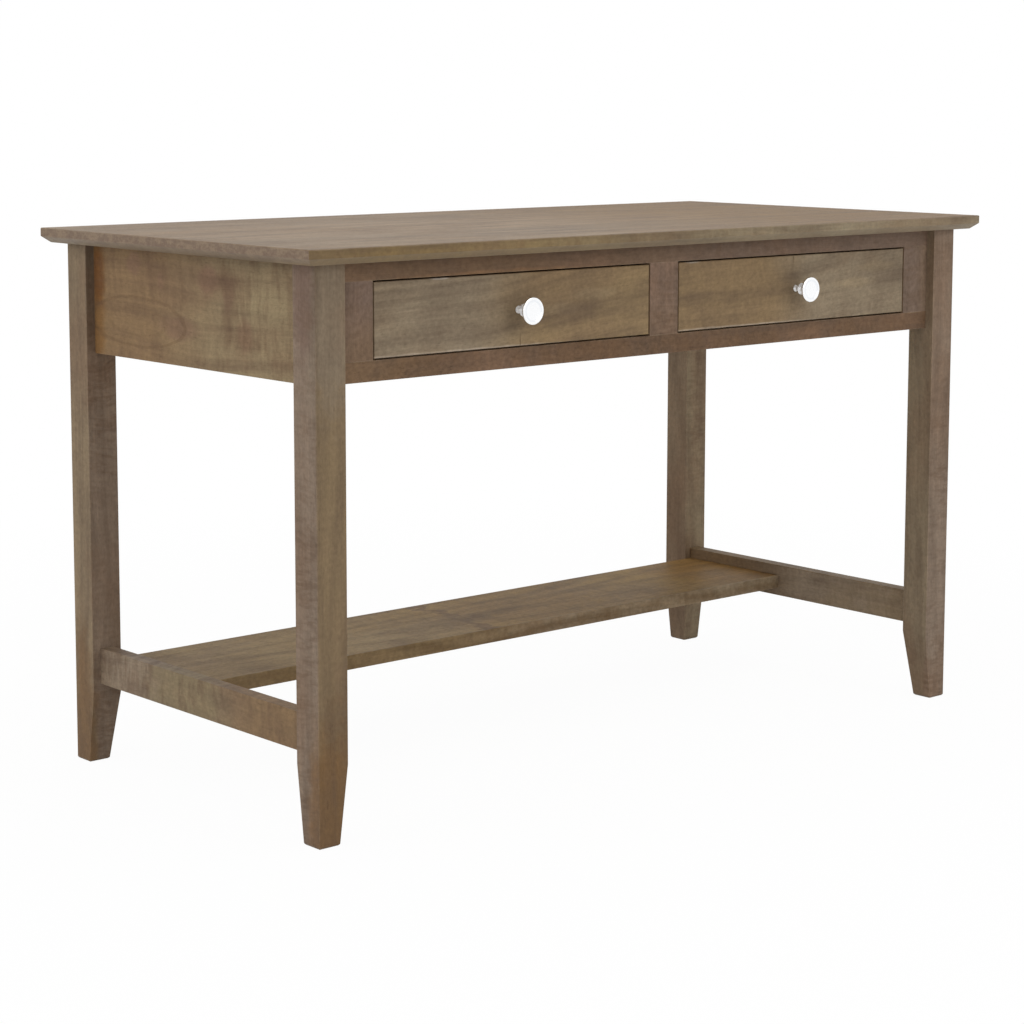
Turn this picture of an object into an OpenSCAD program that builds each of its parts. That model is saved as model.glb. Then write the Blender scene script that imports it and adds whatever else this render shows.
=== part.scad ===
// Shaker writing desk with two inset drawers, a foot board and tapered legs.
// Millimetres. +X is the desk's width, -Y its front, +Z up, with the origin on the floor
// under the middle of the top.

/* [Desktop] */
// Width of the top, left to right
top_w = 1290; // [1150:1:1400]
// Depth of the top, front to back
top_d = 629; // [590:1:680]
// Thickness of the top
top_t = 20.6; // [18:0.1:26]
// Height of the upright part of the top's edge, above its under-bevel
top_edge = 11.8; // [8:0.1:14]
// How far the under-bevel runs in below the edge
bevel_in = 10.4; // [5:0.1:20]
// Round on the upper arris of the top and on the drawer faces
arris_r = 1.6; // [0.8:0.1:3]

/* [Height and overhang] */
// Height of the desk, floor to writing surface
desk_h = 762; // [720:1:800]
// Overhang of the top past the legs at each side
over_side = 28.5; // [22:0.1:36]
// Overhang of the top past the front legs
over_front = 26.4; // [22:0.1:36]
// Overhang of the top past the back legs
over_back = 23.8; // [20:0.1:36]

/* [Legs] */
// Thickness of a leg above its taper
leg = 46.5; // [44:0.1:56]
// Thickness of a leg at the floor
foot = 33; // [24:0.1:40]
// Height of the taper on the two inner faces
taper_h = 104; // [60:1:112]

/* [Aprons and joints] */
// Height of the aprons, and of the whole drawer front frame
apron_h = 153.4; // [150:0.1:175]
// Thickness of the side and back aprons
apron_t = 20; // [18:0.1:24]
// Set-back of the aprons from the legs' outer faces
apron_recess = 13.5; // [10:0.1:15]
// Thickness of every tenon
tenon_t = 10; // [8:0.1:12]
// Length of the tenons that go into the legs
tenon_l = 16; // [10:0.1:16.5]
// Shoulder above and below an apron's tenon
apron_shoulder = 12; // [6:0.1:30]
// Shoulder at each end of a narrow rail's or stile's tenon
rail_shoulder = 6; // [3:0.1:8]
// Glue space at the end of a tenon in its mortise
glue_gap = 0.3; // [0.2:0.1:1]

/* [Front frame] */
// Thickness of the drawer front frame
frame_t = 22; // [20:0.1:24]
// Set-back of the front frame from the legs' front faces
frame_recess = 14; // [10:0.1:15]
// Height of the rail above the drawers
top_rail_h = 25.3; // [24:0.1:32]
// Height of the rail below the drawers
low_rail_h = 26.7; // [24:0.1:34]
// Width of the stile beside each front leg
side_stile_w = 54.5; // [50:0.1:80]
// Width of the stile between the drawers
mid_stile_w = 54.5; // [50:0.1:80]
// Length of the stiles' tenons into the two rails
stile_tenon_l = 12; // [6:0.1:16]

/* [Stretchers and foot board] */
// Height of the underside of the side stretchers above the floor
stretcher_z = 115.4; // [113:0.1:180]
// Height of a side stretcher's face
stretcher_h = 51.2; // [44:0.1:70]
// Thickness of a side stretcher
stretcher_t = 21.5; // [18:0.1:24]
// Set-back of the stretchers from the legs' outer faces
stretcher_recess = 12.5; // [10:0.1:14]
// Thickness of the foot board
board_t = 21; // [18:0.1:24]
// Width of the foot board, front to back
board_w = 206; // [120:1:260]
// Height of the foot board's underside above that of the stretchers
board_lift = 12.8; // [8:0.1:18]
// Space between the foot board and the plane of the back legs' front faces
board_back = 0.5; // [0:0.1:30]
// Depth of the housing in a stretcher that takes the end of the foot board
housing = 6; // [3:0.1:8]

/* [Drawers] */
// Gap round each drawer face in its opening
reveal = 2.2; // [1.5:0.1:3.5]
// Thickness of the drawer face
face_t = 20; // [18:0.1:22]
// Thickness of the drawer box's sides, front and back
box_t = 12.7; // [10:0.1:15]
// Height of the drawer box
box_h = 84; // [70:0.1:86]
// Height of the drawer box above the lower rail
box_lift = 6; // [3:0.1:8]
// Number of dovetails at each corner of the box
tails = 4; // [3:1:5]
// Width of a dovetail pin at its narrow end
pin_w = 6; // [4:0.1:8]
// Slope of the dovetails' flanks, run over rise
tail_slope = 0.14; // [0.1:0.01:0.18]
// Glue space on each flank of a dovetail
tail_gap = 0.1; // [0.05:0.01:0.2]
// Thickness of the drawer bottom
bottom_t = 6; // [4:0.1:9]
// Height of the drawer bottom above the lower edge of the box
bottom_lift = 8; // [5:0.1:14]
// Depth of the groove that holds the drawer bottom
groove_d = 6; // [4:0.1:8]
// Space round the drawer bottom in its groove
groove_gap = 0.3; // [0.1:0.1:0.5]

/* [Drawer slides] */
// Length of a closed slide
slide_len = 450; // [400:1:500]
// Height of a slide
slide_h = 45; // [40:0.5:50]
// Thickness of a slide, from the rail to the drawer box
slide_t = 12.7; // [12:0.1:14]
// Thickness of the slides' steel
sheet = 1.2; // [1:0.1:1.4]
// Running space round the balls
ball_gap = 0.3; // [0.25:0.05:0.4]
// Set-back of a slide from the front and back of the drawer box
slide_inset = 3; // [2:0.5:8]
// Length of a ball retainer
retainer_l = 200; // [160:1:220]
// Number of balls in one row
row_balls = 8; // [5:1:9]
// Thickness of a ball retainer's strip
retainer_t = 0.8; // [0.6:0.1:0.9]
// Distance from the balls' centres to a retainer's outer edge
retainer_out = 3.1; // [2.9:0.05:3.1]
// Distance from the balls' centres to a retainer's inner edge
retainer_in = 0.7; // [0.5:0.1:0.9]
// Space between a ball and its pocket in the retainer
pocket_gap = 0.25; // [0.2:0.05:0.3]

/* [Slide rails] */
// Thickness of the wooden rails that carry the slides
wood_rail_t = 20; // [16:0.1:22]
// Height of the wooden rails
wood_rail_h = 70; // [56:0.1:76]
// Thickness of the stub tenon at each end of a wooden rail
stub_t = 8; // [6:0.1:10]
// Length of the stub tenon
stub_l = 8; // [5:0.1:10]

/* [Knobs] */
// Diameter of the knob's face
knob_d = 36.5; // [30:0.1:40]
// Projection of the knob from the drawer face
knob_l = 31; // [29:0.1:33]
// Diameter of the knob's foot
knob_foot_d = 11.2; // [9.5:0.1:14]
// Diameter of the knob's waist
knob_waist_d = 8.4; // [7.5:0.1:9.4]
// Diameter of the collar behind the knob's face
knob_collar_d = 18.8; // [15:0.1:22]
// Diameter of the neck between the collar and the knob's face
knob_neck_d = 13.6; // [11:0.1:14]
// Height of the straight part of the knob's foot
knob_foot_h = 1.3; // [0.8:0.1:1.8]
// Distance from the drawer face to the knob's waist
knob_waist_h = 3.2; // [2.4:0.1:4]
// Distance from the drawer face to the collar's edge
knob_collar_h = 11.5; // [9:0.1:14]
// Thickness of the collar's edge
knob_collar_t = 0.7; // [0.4:0.1:1.2]
// Distance from the collar's edge to the narrow neck
knob_undercut = 2.6; // [1.6:0.1:3.6]
// Radius of the rolled rim round the knob's face
knob_rim = 1.6; // [1:0.1:2]
// Diameter of the dished middle of the knob's face
knob_dish_d = 29; // [24:0.1:30]
// Depth of the dish
knob_dish = 1.5; // [0.5:0.1:2]

/* [Corner blocks and buttons] */
// Height of a corner block
block_h = 24; // [20:0.1:26]
// Length of a corner block along each apron, past the leg
block_l = 45; // [40:0.1:60]
// Distance of a corner block's screw from the leg, each way
block_screw = 8; // [7:0.1:10]
// Width of a wooden button that holds the top down
button_w = 32; // [24:0.1:40]
// Reach of a button from the apron
button_l = 28; // [24:0.1:36]
// Height of a button
button_h = 18; // [16:0.1:20]
// Thickness of a button's tongue
tongue_t = 7; // [5:0.1:8]
// Wood left above the slot that takes the tongue
slot_lip = 9; // [7:0.1:10]
// Length of a button's tongue in its slot
tongue_l = 8; // [5:0.1:10]
// Free space round a tongue, so that the top can move with the seasons
button_gap = 1; // [0.5:0.1:2]
// Distance between the two buttons of a side apron
side_button_span = 240; // [160:1:300]
// Distance between neighbouring buttons of the back apron
back_button_span = 330; // [200:1:400]

/* [Screws] */
// Diameter of the wood screws' shanks
screw_d = 4.2; // [3.5:0.1:5]
// Diameter of the wood screws' heads
screw_head_d = 8; // [7:0.1:9]
// Height of the wood screws' heads
screw_head_h = 2.4; // [1.8:0.1:2.6]
// Space round a wood screw's head in its counterbore
head_room = 0.5; // [0.3:0.1:1]
// Depth that a screw bites into the top
bite = 12; // [8:0.1:14]
// Diameter of the slide screws' shanks
small_screw_d = 3.5; // [3:0.1:4]
// Diameter of the slide screws' heads
small_head_d = 7; // [6:0.1:8]
// Height of the slide screws' heads
small_head_h = 1.6; // [1.2:0.1:1.7]
// Length of the slide screws' shanks in the wood
small_bite = 10; // [8:0.1:11]
// Distance of the outer slide screws from a slide's ends
slide_screw_end = 35; // [20:1:60]
// Space round a screw's shank in its hole
hole_gap = 0.15; // [0.1:0.05:0.3]
// Distance between the screws of the top rail behind one drawer
rail_screw_span = 260; // [160:1:360]
// Distance between the face screws across a drawer
face_screw_span = 300; // [200:1:380]
// Distance between the face screws up a drawer
face_screw_rise = 44; // [36:1:50]
// Depth that the face screws bite into the drawer face
face_bite = 14; // [10:0.1:16]
// Diameter of the knob's machine screw
knob_screw_d = 4; // [3.5:0.1:5]
// Depth of the machine screw in the knob
knob_bite = 11; // [8:0.1:13]
// Diameter of the pocket in the foot board for a screw's head
pocket_d = 9.6; // [9.2:0.1:11]
// Angle of the pocket screws to the foot board
pocket_a = 15; // [12:1:18]
// Distance along a pocket screw from its head to the stretcher
pocket_in = 20; // [16:0.1:24]
// Length of a pocket screw past the stretcher's inner face
pocket_bite = 16; // [12:0.1:19]
// Distance between the pocket screws at one end of the foot board
pocket_span = 120; // [60:1:160]

/* [Hidden] */
$fn = 40;

// The woods and metals
stained = "#7d6b58";
maple = "#c8a67a";
zinc = "#b4b7ba";
chrome = "#e6e8ea";

// Planes of the legs: the outer faces, then the inner ones
leg_x = top_w / 2 - over_side;
leg_yf = -top_d / 2 + over_front;
leg_yb = top_d / 2 - over_back;
in_x = leg_x - leg;
in_yf = leg_yf + leg;
in_yb = leg_yb - leg;
under = desk_h - top_t;

// Planes of the aprons and of the front frame
apron_z = under - apron_h;
side_in_x = leg_x - apron_recess - apron_t;
back_in_y = leg_yb - apron_recess - apron_t;
front_y = leg_yf + frame_recess;
front_in_y = front_y + frame_t;
front_mid = front_y + frame_t / 2;
side_mid = apron_recess + apron_t / 2;
stretcher_mid = stretcher_recess + stretcher_t / 2;
stretcher_in_x = leg_x - stretcher_recess - stretcher_t;

// The two drawer openings
open_z = apron_z + low_rail_h;
open_top = under - top_rail_h;
open_w = in_x - side_stile_w - mid_stile_w / 2;
drawer_x = (mid_stile_w + open_w) / 2;
face_mid_z = (open_z + open_top) / 2;

// The drawer box, inside its two slides
box_w = open_w - 2 * slide_t;
box_y = front_y + face_t;
box_l = slide_len + 2 * slide_inset;
box_z = open_z + box_lift;
slide_y = box_y + slide_inset;
slide_z = box_z + box_h / 2;
pitch = box_h / tails;
tail_base = pitch - pin_w - 2 * box_t * tail_slope;

// A slide's section: two ball races side by side across its thickness
race = (slide_t - 3 * sheet) / 4;
race_out = race + sheet;
race_v = slide_h / 2 - race_out;
race_u1 = race_out;
race_u2 = race_u1 + race + race_out;
ball_r = race - ball_gap;
slide_screws = [slide_screw_end, slide_len / 2, slide_len - slide_screw_end];

// The foot board
board_z = stretcher_z + board_lift;
board_y1 = in_yb - board_back;
board_y0 = board_y1 - board_w;

// Angles in a ball race's section: the end of its lip over the balls, the start of the drawer
// member's cup under them, and the lean of the retainers
lip_a = 75;
cup_a = 238;
lean_a = 45;

// Shares of a screw's diameters left at the rim of its rounded head and at its point
head_share = 0.7;
point_share = 0.25;

// Step of a turned curve, in degrees
turn_step = 15;

// Extra depth of a cut that has to break through a face
over = 1;

// Box between limits, each given as [low, high]
module span(x, y, z)
    translate([x[0], y[0], z[0]]) cube([x[1] - x[0], y[1] - y[0], z[1] - z[0]]);

// Section drawn in X and Z, run along Y
module along_y(y0, l)
    translate([0, y0 + l, 0]) rotate([90, 0, 0]) linear_extrude(l) children();

// Section drawn in Y and Z, run along X
module along_x(x0, l)
    translate([x0, 0, 0]) rotate([90, 0, 90]) linear_extrude(l) children();

// The left-hand piece as drawn, or its mirror image on the right
module on_side(right) mirror([right ? 1 : 0, 0, 0]) children();

// A piece and its mirror image
module both_sides() for (right = [false, true]) on_side(right) children();

// A piece drawn about the middle of a drawer, moved to the left or right drawer
module at_drawer(right) translate([right ? drawer_x : -drawer_x, 0, 0]) children();

// Pan-head screw along +Z, its head's seat at the origin
module pan_screw(d, l, head_d, head_h) {
    tip = d / 2;
    cylinder(d = d, h = l - tip);
    translate([0, 0, l - tip]) cylinder(d1 = d, d2 = d * point_share, h = tip);
    translate([0, 0, -head_h]) cylinder(d1 = head_d * head_share, d2 = head_d, h = head_h / 2);
    translate([0, 0, -head_h / 2]) cylinder(d = head_d, h = head_h / 2);
}

// Hole for a screw's shank, from a little in front of its seat
module screw_hole(d, l)
    translate([0, 0, -over]) cylinder(d = d + 2 * hole_gap, h = l + over + hole_gap);

// Hole that lets a wood screw's head in as far as its seat
module counterbore(l) translate([0, 0, -l]) cylinder(d = screw_head_d + 2 * head_room, h = l);

// Joints

// Tenons on the left-hand bars between a front and a back leg, drawn right through the bar
module side_tenons(mid, z, h, shoulder, gap)
    span([-leg_x + mid - tenon_t / 2, -leg_x + mid + tenon_t / 2],
         [in_yf - tenon_l - gap, in_yb + tenon_l + gap], [z + shoulder, z + h - shoulder]);

// Tenons on the bars between a left and a right leg, drawn right through the bar
module cross_tenons(mid_y, z, h, shoulder, gap)
    span([-in_x - tenon_l - gap, in_x + tenon_l + gap],
         [mid_y - tenon_t / 2, mid_y + tenon_t / 2], [z + shoulder, z + h - shoulder]);

module apron_side_tenons(gap) side_tenons(side_mid, apron_z, apron_h, apron_shoulder, gap);
module stretcher_tenons(gap)
    side_tenons(stretcher_mid, stretcher_z, stretcher_h, rail_shoulder, gap);
module apron_back_tenons(gap)
    cross_tenons(leg_yb - side_mid, apron_z, apron_h, apron_shoulder, gap);
module top_rail_tenons(gap) cross_tenons(front_mid, open_top, top_rail_h, rail_shoulder, gap);
module low_rail_tenons(gap) cross_tenons(front_mid, apron_z, low_rail_h, rail_shoulder, gap);

// Tenon of one stile, drawn right through it from rail to rail
module stile_tenon(x0, w, gap)
    span([x0 + rail_shoulder, x0 + w - rail_shoulder],
         [front_mid - tenon_t / 2, front_mid + tenon_t / 2],
         [open_z - stile_tenon_l - gap, open_top + stile_tenon_l + gap]);

module stile_tenons(gap) {
    both_sides() stile_tenon(-in_x, side_stile_w, gap);
    stile_tenon(-mid_stile_w / 2, mid_stile_w, gap);
}

// Stub tenons of a wooden slide rail, into the stile in front and the apron behind
module rail_stub(gap)
    span([-open_w / 2 - (wood_rail_t + stub_t) / 2, -open_w / 2 - (wood_rail_t - stub_t) / 2],
         [front_in_y - stub_l - gap, back_in_y + stub_l + gap],
         [slide_z - wood_rail_h / 2 + rail_shoulder, slide_z + wood_rail_h / 2 - rail_shoulder]);

module rail_stubs(gap) for (right = [false, true]) at_drawer(right) both_sides() rail_stub(gap);

// Frame of the desk

// Edge profile of the top for a given width, with its under-bevel and eased upper arris
module top_profile(w) {
    polygon([[-w / 2 + bevel_in, under], [w / 2 - bevel_in, under], [w / 2, desk_h - top_edge],
             [w / 2, desk_h - arris_r], [-w / 2, desk_h - arris_r], [-w / 2, desk_h - top_edge]]);
    translate([-w / 2 + arris_r, desk_h - arris_r]) square([w - 2 * arris_r, arris_r]);
    for (s = [-1, 1]) translate([s * (w / 2 - arris_r), desk_h - arris_r]) circle(arris_r);
}

module desk_top() color(stained) difference() {
    intersection() {
        along_y(-top_d / 2, top_d) top_profile(top_w);
        along_x(-top_w / 2, top_w) top_profile(top_d);
    }
    top_screw_places() screw_hole(screw_d, button_h + bite);
}

// A square leg with its taper on the two inner faces, from the corner of its outer faces
module leg_blank() {
    profile = [[0, 0], [foot, 0], [leg, taper_h], [leg, under], [0, under]];
    intersection() {
        along_y(0, leg) polygon(profile);
        along_x(0, leg) polygon(profile);
    }
}

module desk_leg(right, back) color(stained) on_side(right) difference() {
    translate([-leg_x, back ? leg_yb : leg_yf, 0]) mirror([0, back ? 1 : 0, 0]) leg_blank();
    apron_side_tenons(glue_gap);
    stretcher_tenons(glue_gap);
    if (back) apron_back_tenons(glue_gap);
    if (!back) top_rail_tenons(glue_gap);
    if (!back) low_rail_tenons(glue_gap);
}

module apron_side(right) color(stained) on_side(right) difference() {
    union() {
        span([-side_in_x - apron_t, -side_in_x], [in_yf, in_yb], [apron_z, under]);
        apron_side_tenons(0);
    }
    side_button_places() button_slot();
}

module apron_back() color(stained) difference() {
    union() {
        span([-in_x, in_x], [back_in_y, back_in_y + apron_t], [apron_z, under]);
        apron_back_tenons(0);
    }
    rail_stubs(glue_gap);
    back_button_places() button_slot();
}

module front_top_rail() color(stained) difference() {
    union() {
        span([-in_x, in_x], [front_y, front_in_y], [open_top, under]);
        top_rail_tenons(0);
    }
    stile_tenons(glue_gap);
    rail_screw_places() {
        screw_hole(screw_d, button_h);
        counterbore(top_rail_h);
    }
}

module front_low_rail() color(stained) difference() {
    union() {
        span([-in_x, in_x], [front_y, front_in_y], [apron_z, open_z]);
        low_rail_tenons(0);
    }
    stile_tenons(glue_gap);
}

// An upright of the front frame from x0, with its slide rails' housings behind
module stile(x0, w) color(stained) difference() {
    union() {
        span([x0, x0 + w], [front_y, front_in_y], [open_z, open_top]);
        stile_tenon(x0, w, 0);
    }
    rail_stubs(glue_gap);
}

module stretcher(right) color(stained) on_side(right) difference() {
    union() {
        span([-stretcher_in_x - stretcher_t, -stretcher_in_x], [in_yf, in_yb],
             [stretcher_z, stretcher_z + stretcher_h]);
        stretcher_tenons(0);
    }
    span([-stretcher_in_x - housing, 0], [board_y0, board_y1], [board_z, board_z + board_t]);
    pocket_places() screw_hole(screw_d, pocket_in + pocket_bite);
}

module foot_board() color(stained) difference() {
    span([-stretcher_in_x - housing, stretcher_in_x + housing], [board_y0, board_y1],
         [board_z, board_z + board_t]);
    both_sides() pocket_places() {
        screw_hole(screw_d, pocket_in + pocket_bite);
        translate([0, 0, -board_w]) cylinder(d = pocket_d, h = board_w);
    }
}

// Pocket screws of the foot board's left end, from under the board up into the stretcher
module pocket_places()
    for (s = [-1, 1])
        translate([-stretcher_in_x, (board_y0 + board_y1 + s * pocket_span) / 2,
                   board_z + board_t / 2])
            rotate([0, pocket_a - 90, 0]) translate([0, 0, -pocket_in]) children();

module board_screws() color(zinc) both_sides() pocket_places()
    pan_screw(screw_d, pocket_in + pocket_bite, screw_head_d, screw_head_h);

module slide_rail(right, right_side) color(maple) at_drawer(right) on_side(right_side)
    difference() {
        union() {
            span([-open_w / 2 - wood_rail_t, -open_w / 2], [front_in_y, back_in_y],
                 [slide_z - wood_rail_h / 2, slide_z + wood_rail_h / 2]);
            rail_stub(0);
        }
        cabinet_screw_places() screw_hole(small_screw_d, small_bite + sheet);
    }

// Blocks, buttons and the screws that hold the top

// Glue block in one corner, notched round the leg, from the corner of the leg's outer faces
module corner_block(frame_in) difference() {
    translate([0, 0, under - block_h]) linear_extrude(block_h)
        polygon([[leg, leg], [apron_recess + apron_t, leg],
                 [apron_recess + apron_t, leg + block_l], [leg + block_l, frame_in],
                 [leg, frame_in]]);
    translate([leg + block_screw, leg + block_screw, under - button_h]) {
        screw_hole(screw_d, button_h);
        counterbore(block_h);
    }
}

module corner_blocks() color(maple) both_sides() {
    translate([-leg_x, leg_yf, 0]) corner_block(frame_recess + frame_t);
    translate([-leg_x, leg_yb, 0]) mirror([0, 1, 0]) corner_block(apron_recess + apron_t);
}

// Places of the buttons: X along the apron, +Y away from it, Z = 0 at the top's underside
module side_button_places()
    for (s = [-1, 1])
        translate([-side_in_x, (leg_yf + leg_yb + s * side_button_span) / 2, under])
            rotate([0, 0, -90]) children();

module back_button_places()
    for (i = [-1:1]) translate([i * back_button_span, back_in_y, under])
        rotate([0, 0, 180]) children();

module button_places() {
    both_sides() side_button_places() children();
    back_button_places() children();
}

module button_slot()
    span([-button_w / 2 - button_gap, button_w / 2 + button_gap],
         [-tongue_l - button_gap, over], [-slot_lip - tongue_t - button_gap, -slot_lip]);

module button() difference() {
    union() {
        span([-button_w / 2, button_w / 2], [button_gap, button_l], [-button_h, 0]);
        span([-button_w / 2, button_w / 2], [-tongue_l, button_gap + over],
             [-slot_lip - tongue_t, -slot_lip]);
    }
    button_screw_place() screw_hole(screw_d, button_h);
}

module button_screw_place() translate([0, (button_gap + button_l) / 2, -button_h]) children();

module top_buttons() color(maple) button_places() button();

module rail_screw_places()
    for (side = [-1, 1], s = [-1, 1])
        translate([side * drawer_x + s * rail_screw_span / 2, front_mid, under - button_h])
            children();

module block_screw_places()
    both_sides() for (y = [in_yf + block_screw, in_yb - block_screw])
        translate([-in_x + block_screw, y, under - button_h]) children();

module top_screw_places() {
    rail_screw_places() children();
    block_screw_places() children();
    button_places() button_screw_place() children();
}

module top_screws() color(zinc) top_screw_places()
    pan_screw(screw_d, button_h + bite, screw_head_d, screw_head_h);

// Drawer slides

// Sector of a ring about a ball's centre, between two angles
module race_arc(a0, a1) {
    reach = 2 * race_out;
    parts = 3;
    fan = [for (i = [0:parts]) a0 + (a1 - a0) * i / parts];
    intersection() {
        difference() {
            circle(race_out);
            circle(race);
        }
        polygon(concat([[0, 0]], [for (a = fan) reach * [cos(a), sin(a)]]));
    }
}

// The upper half of a section and its mirror image below
module mirrored_rows() {
    children();
    mirror([0, 1]) children();
}

// Channel screwed to the wooden rail, its lips hooked over the outer balls
module cabinet_section() {
    translate([0, -race_v]) square([sheet, 2 * race_v]);
    mirrored_rows() translate([race_u1, race_v]) race_arc(lip_a, 180);
}

// Middle channel, whose flanges cup the outer balls from below and the inner ones from above
module mid_section() {
    translate([race_u1, -race_v + race]) square([sheet, 2 * (race_v - race)]);
    mirrored_rows() {
        translate([race_u1, race_v]) race_arc(270, 360);
        translate([race_u2, race_v]) race_arc(lip_a, 180);
    }
}

// Channel screwed to the drawer box, whose flanges ride on the inner balls
module drawer_section() {
    translate([slide_t - sheet, -race_v + race]) square([sheet, 2 * (race_v - race)]);
    mirrored_rows() {
        translate([race_u2, race_v - race_out]) square([slide_t - race_u2, sheet]);
        translate([race_u2, race_v]) race_arc(cup_a, 270);
    }
}

// The slide on the left of a drawer, with X away from its wooden rail
module left_slide() translate([-open_w / 2, 0, slide_z]) children();

// Screws of the cabinet members, from the web into the wooden rail
module cabinet_screw_places()
    for (y = slide_screws) translate([-open_w / 2 + sheet, slide_y + y, slide_z])
        rotate([0, -90, 0]) children();

// Screws of the drawer members, from the web into the box's side
module member_screw_places()
    for (y = slide_screws) translate([-box_w / 2 - sheet, slide_y + y, slide_z])
        rotate([0, 90, 0]) children();

module cabinet_members() color(zinc)
    for (right = [false, true]) at_drawer(right) both_sides() difference() {
        left_slide() along_y(slide_y, slide_len) cabinet_section();
        cabinet_screw_places() screw_hole(small_screw_d, small_bite);
    }

module cabinet_member_screws() color(zinc)
    for (right = [false, true]) at_drawer(right) both_sides() cabinet_screw_places()
        pan_screw(small_screw_d, small_bite + sheet, small_head_d, small_head_h);

module mid_members(right) color(zinc) at_drawer(right) both_sides()
    left_slide() along_y(slide_y, slide_len) mid_section();

module drawer_members(right) color(zinc) at_drawer(right) both_sides() difference() {
    left_slide() along_y(slide_y, slide_len) drawer_section();
    member_screw_places() screw_hole(small_screw_d, small_bite);
}

module member_screws(right) color(zinc) at_drawer(right) both_sides() member_screw_places()
    pan_screw(small_screw_d, small_bite + sheet, small_head_d, small_head_h);

// Places of the balls of the row at u, in the upper and the lower race
module ball_places(u) {
    ball_step = retainer_l / row_balls;
    left_slide() for (s = [-1, 1], i = [0:row_balls - 1])
        translate([u, slide_y + (slide_len - retainer_l) / 2 + (i + 0.5) * ball_step, s * race_v])
            mirror([0, 0, s < 0 ? 1 : 0]) children();
}

// Comb of strip steel that spaces the balls, leaning out of the gap between the races
module retainers(right, u) color(zinc) at_drawer(right) both_sides() difference() {
    left_slide() for (s = [-1, 1])
        translate([u, slide_y + (slide_len - retainer_l) / 2, s * race_v])
            mirror([0, 0, s < 0 ? 1 : 0]) rotate([0, -lean_a, 0])
                span([retainer_in, retainer_out], [0, retainer_l], [-retainer_t / 2, retainer_t / 2]);
    ball_places(u) rotate([0, -lean_a, 0])
        cylinder(r = ball_r + pocket_gap, h = 2 * race_out, center = true);
}

module balls(right, u) color(chrome) at_drawer(right) both_sides() ball_places(u) sphere(ball_r);

// Drawers, each drawn about its own middle

// The four drawer box boards' groove for the bottom, or the bottom itself with no gap
module bottom_panel(gap)
    span([-box_w / 2 + box_t - groove_d - gap, box_w / 2 - box_t + groove_d + gap],
         [box_y + box_t - groove_d - gap, box_y + box_l - box_t + groove_d + gap],
         [box_z + bottom_lift, box_z + bottom_lift + bottom_t + gap]);

// Half the width of a dovetail at a distance from its shoulder
function tail_half(d) = tail_base / 2 + tail_slope * d;

// Dovetails of the left side board at its front end: gap widens them into sockets
module front_tails(gap, past)
    for (i = [0:tails - 1]) {
        mid = box_z + (i + 0.5) * pitch;
        wide = tail_half(box_t + past) + gap;
        narrow = tail_half(-over) + gap;
        along_x(-box_w / 2 - past, box_t + past)
            polygon([[box_y - past, mid - wide], [box_y + box_t + over, mid - narrow],
                     [box_y + box_t + over, mid + narrow], [box_y - past, mid + wide]]);
    }

// The same dovetails at the back end
module back_tails(gap, past)
    translate([0, 2 * box_y + box_l, 0]) mirror([0, 1, 0]) front_tails(gap, past);

module drawer_side(right, right_side) color(maple) at_drawer(right) on_side(right_side)
    difference() {
        union() {
            span([-box_w / 2, -box_w / 2 + box_t], [box_y + box_t, box_y + box_l - box_t],
                 [box_z, box_z + box_h]);
            front_tails(0, 0);
            back_tails(0, 0);
        }
        bottom_panel(groove_gap);
        member_screw_places() screw_hole(small_screw_d, small_bite + sheet);
    }

module box_front(right) color(maple) at_drawer(right) difference() {
    span([-box_w / 2, box_w / 2], [box_y, box_y + box_t], [box_z, box_z + box_h]);
    both_sides() front_tails(tail_gap, over);
    bottom_panel(groove_gap);
    face_screw_places() screw_hole(screw_d, box_t);
    knob_screw_place() screw_hole(knob_screw_d, box_t);
}

module box_back(right) color(maple) at_drawer(right) difference() {
    span([-box_w / 2, box_w / 2], [box_y + box_l - box_t, box_y + box_l], [box_z, box_z + box_h]);
    both_sides() back_tails(tail_gap, over);
    bottom_panel(groove_gap);
}

module drawer_bottom(right) color(maple) at_drawer(right) bottom_panel(0);

// Board section w wide and t thick about the origin, its two front arrises eased
module eased_section(w, t) {
    translate([-w / 2, arris_r]) square([w, t - arris_r]);
    translate([-w / 2 + arris_r, 0]) square([w - 2 * arris_r, t]);
    for (s = [-1, 1]) translate([s * (w / 2 - arris_r), arris_r]) circle(arris_r);
}

module drawer_face(right) color(stained) at_drawer(right) difference() {
    face_w = open_w - 2 * reveal;
    face_h = open_top - open_z - 2 * reveal;
    intersection() {
        translate([0, front_y, face_mid_z - face_h / 2]) linear_extrude(face_h)
            eased_section(face_w, face_t);
        translate([-face_w / 2, front_y, face_mid_z]) rotate([0, 90, 0]) linear_extrude(face_w)
            eased_section(face_h, face_t);
    }
    face_screw_places() screw_hole(screw_d, box_t + face_bite);
    knob_screw_place() screw_hole(knob_screw_d, box_t + face_t + over);
}

// Screws that hold the face to the box, from inside the drawer
module face_screw_places()
    for (s = [-1, 1], t = [-1, 1])
        translate([s * face_screw_span / 2, box_y + box_t, slide_z + t * face_screw_rise / 2])
            rotate([90, 0, 0]) children();

module face_screws(right) color(zinc) at_drawer(right) face_screw_places()
    pan_screw(screw_d, box_t + face_bite, screw_head_d, screw_head_h);

module knob_screw_place()
    translate([0, box_y + box_t, face_mid_z]) rotate([90, 0, 0]) children();

module knob_screw(right) color(zinc) at_drawer(right) knob_screw_place()
    pan_screw(knob_screw_d, box_t + face_t + knob_bite, screw_head_d, screw_head_h);

// Elliptical quarter from [r0, h0], rising at first, to [r1, h1]
function flare(r0, h0, r1, h1) =
    [for (a = [0:turn_step:90]) [r0 + (r1 - r0) * (1 - cos(a)), h0 + (h1 - h0) * sin(a)]];

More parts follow.
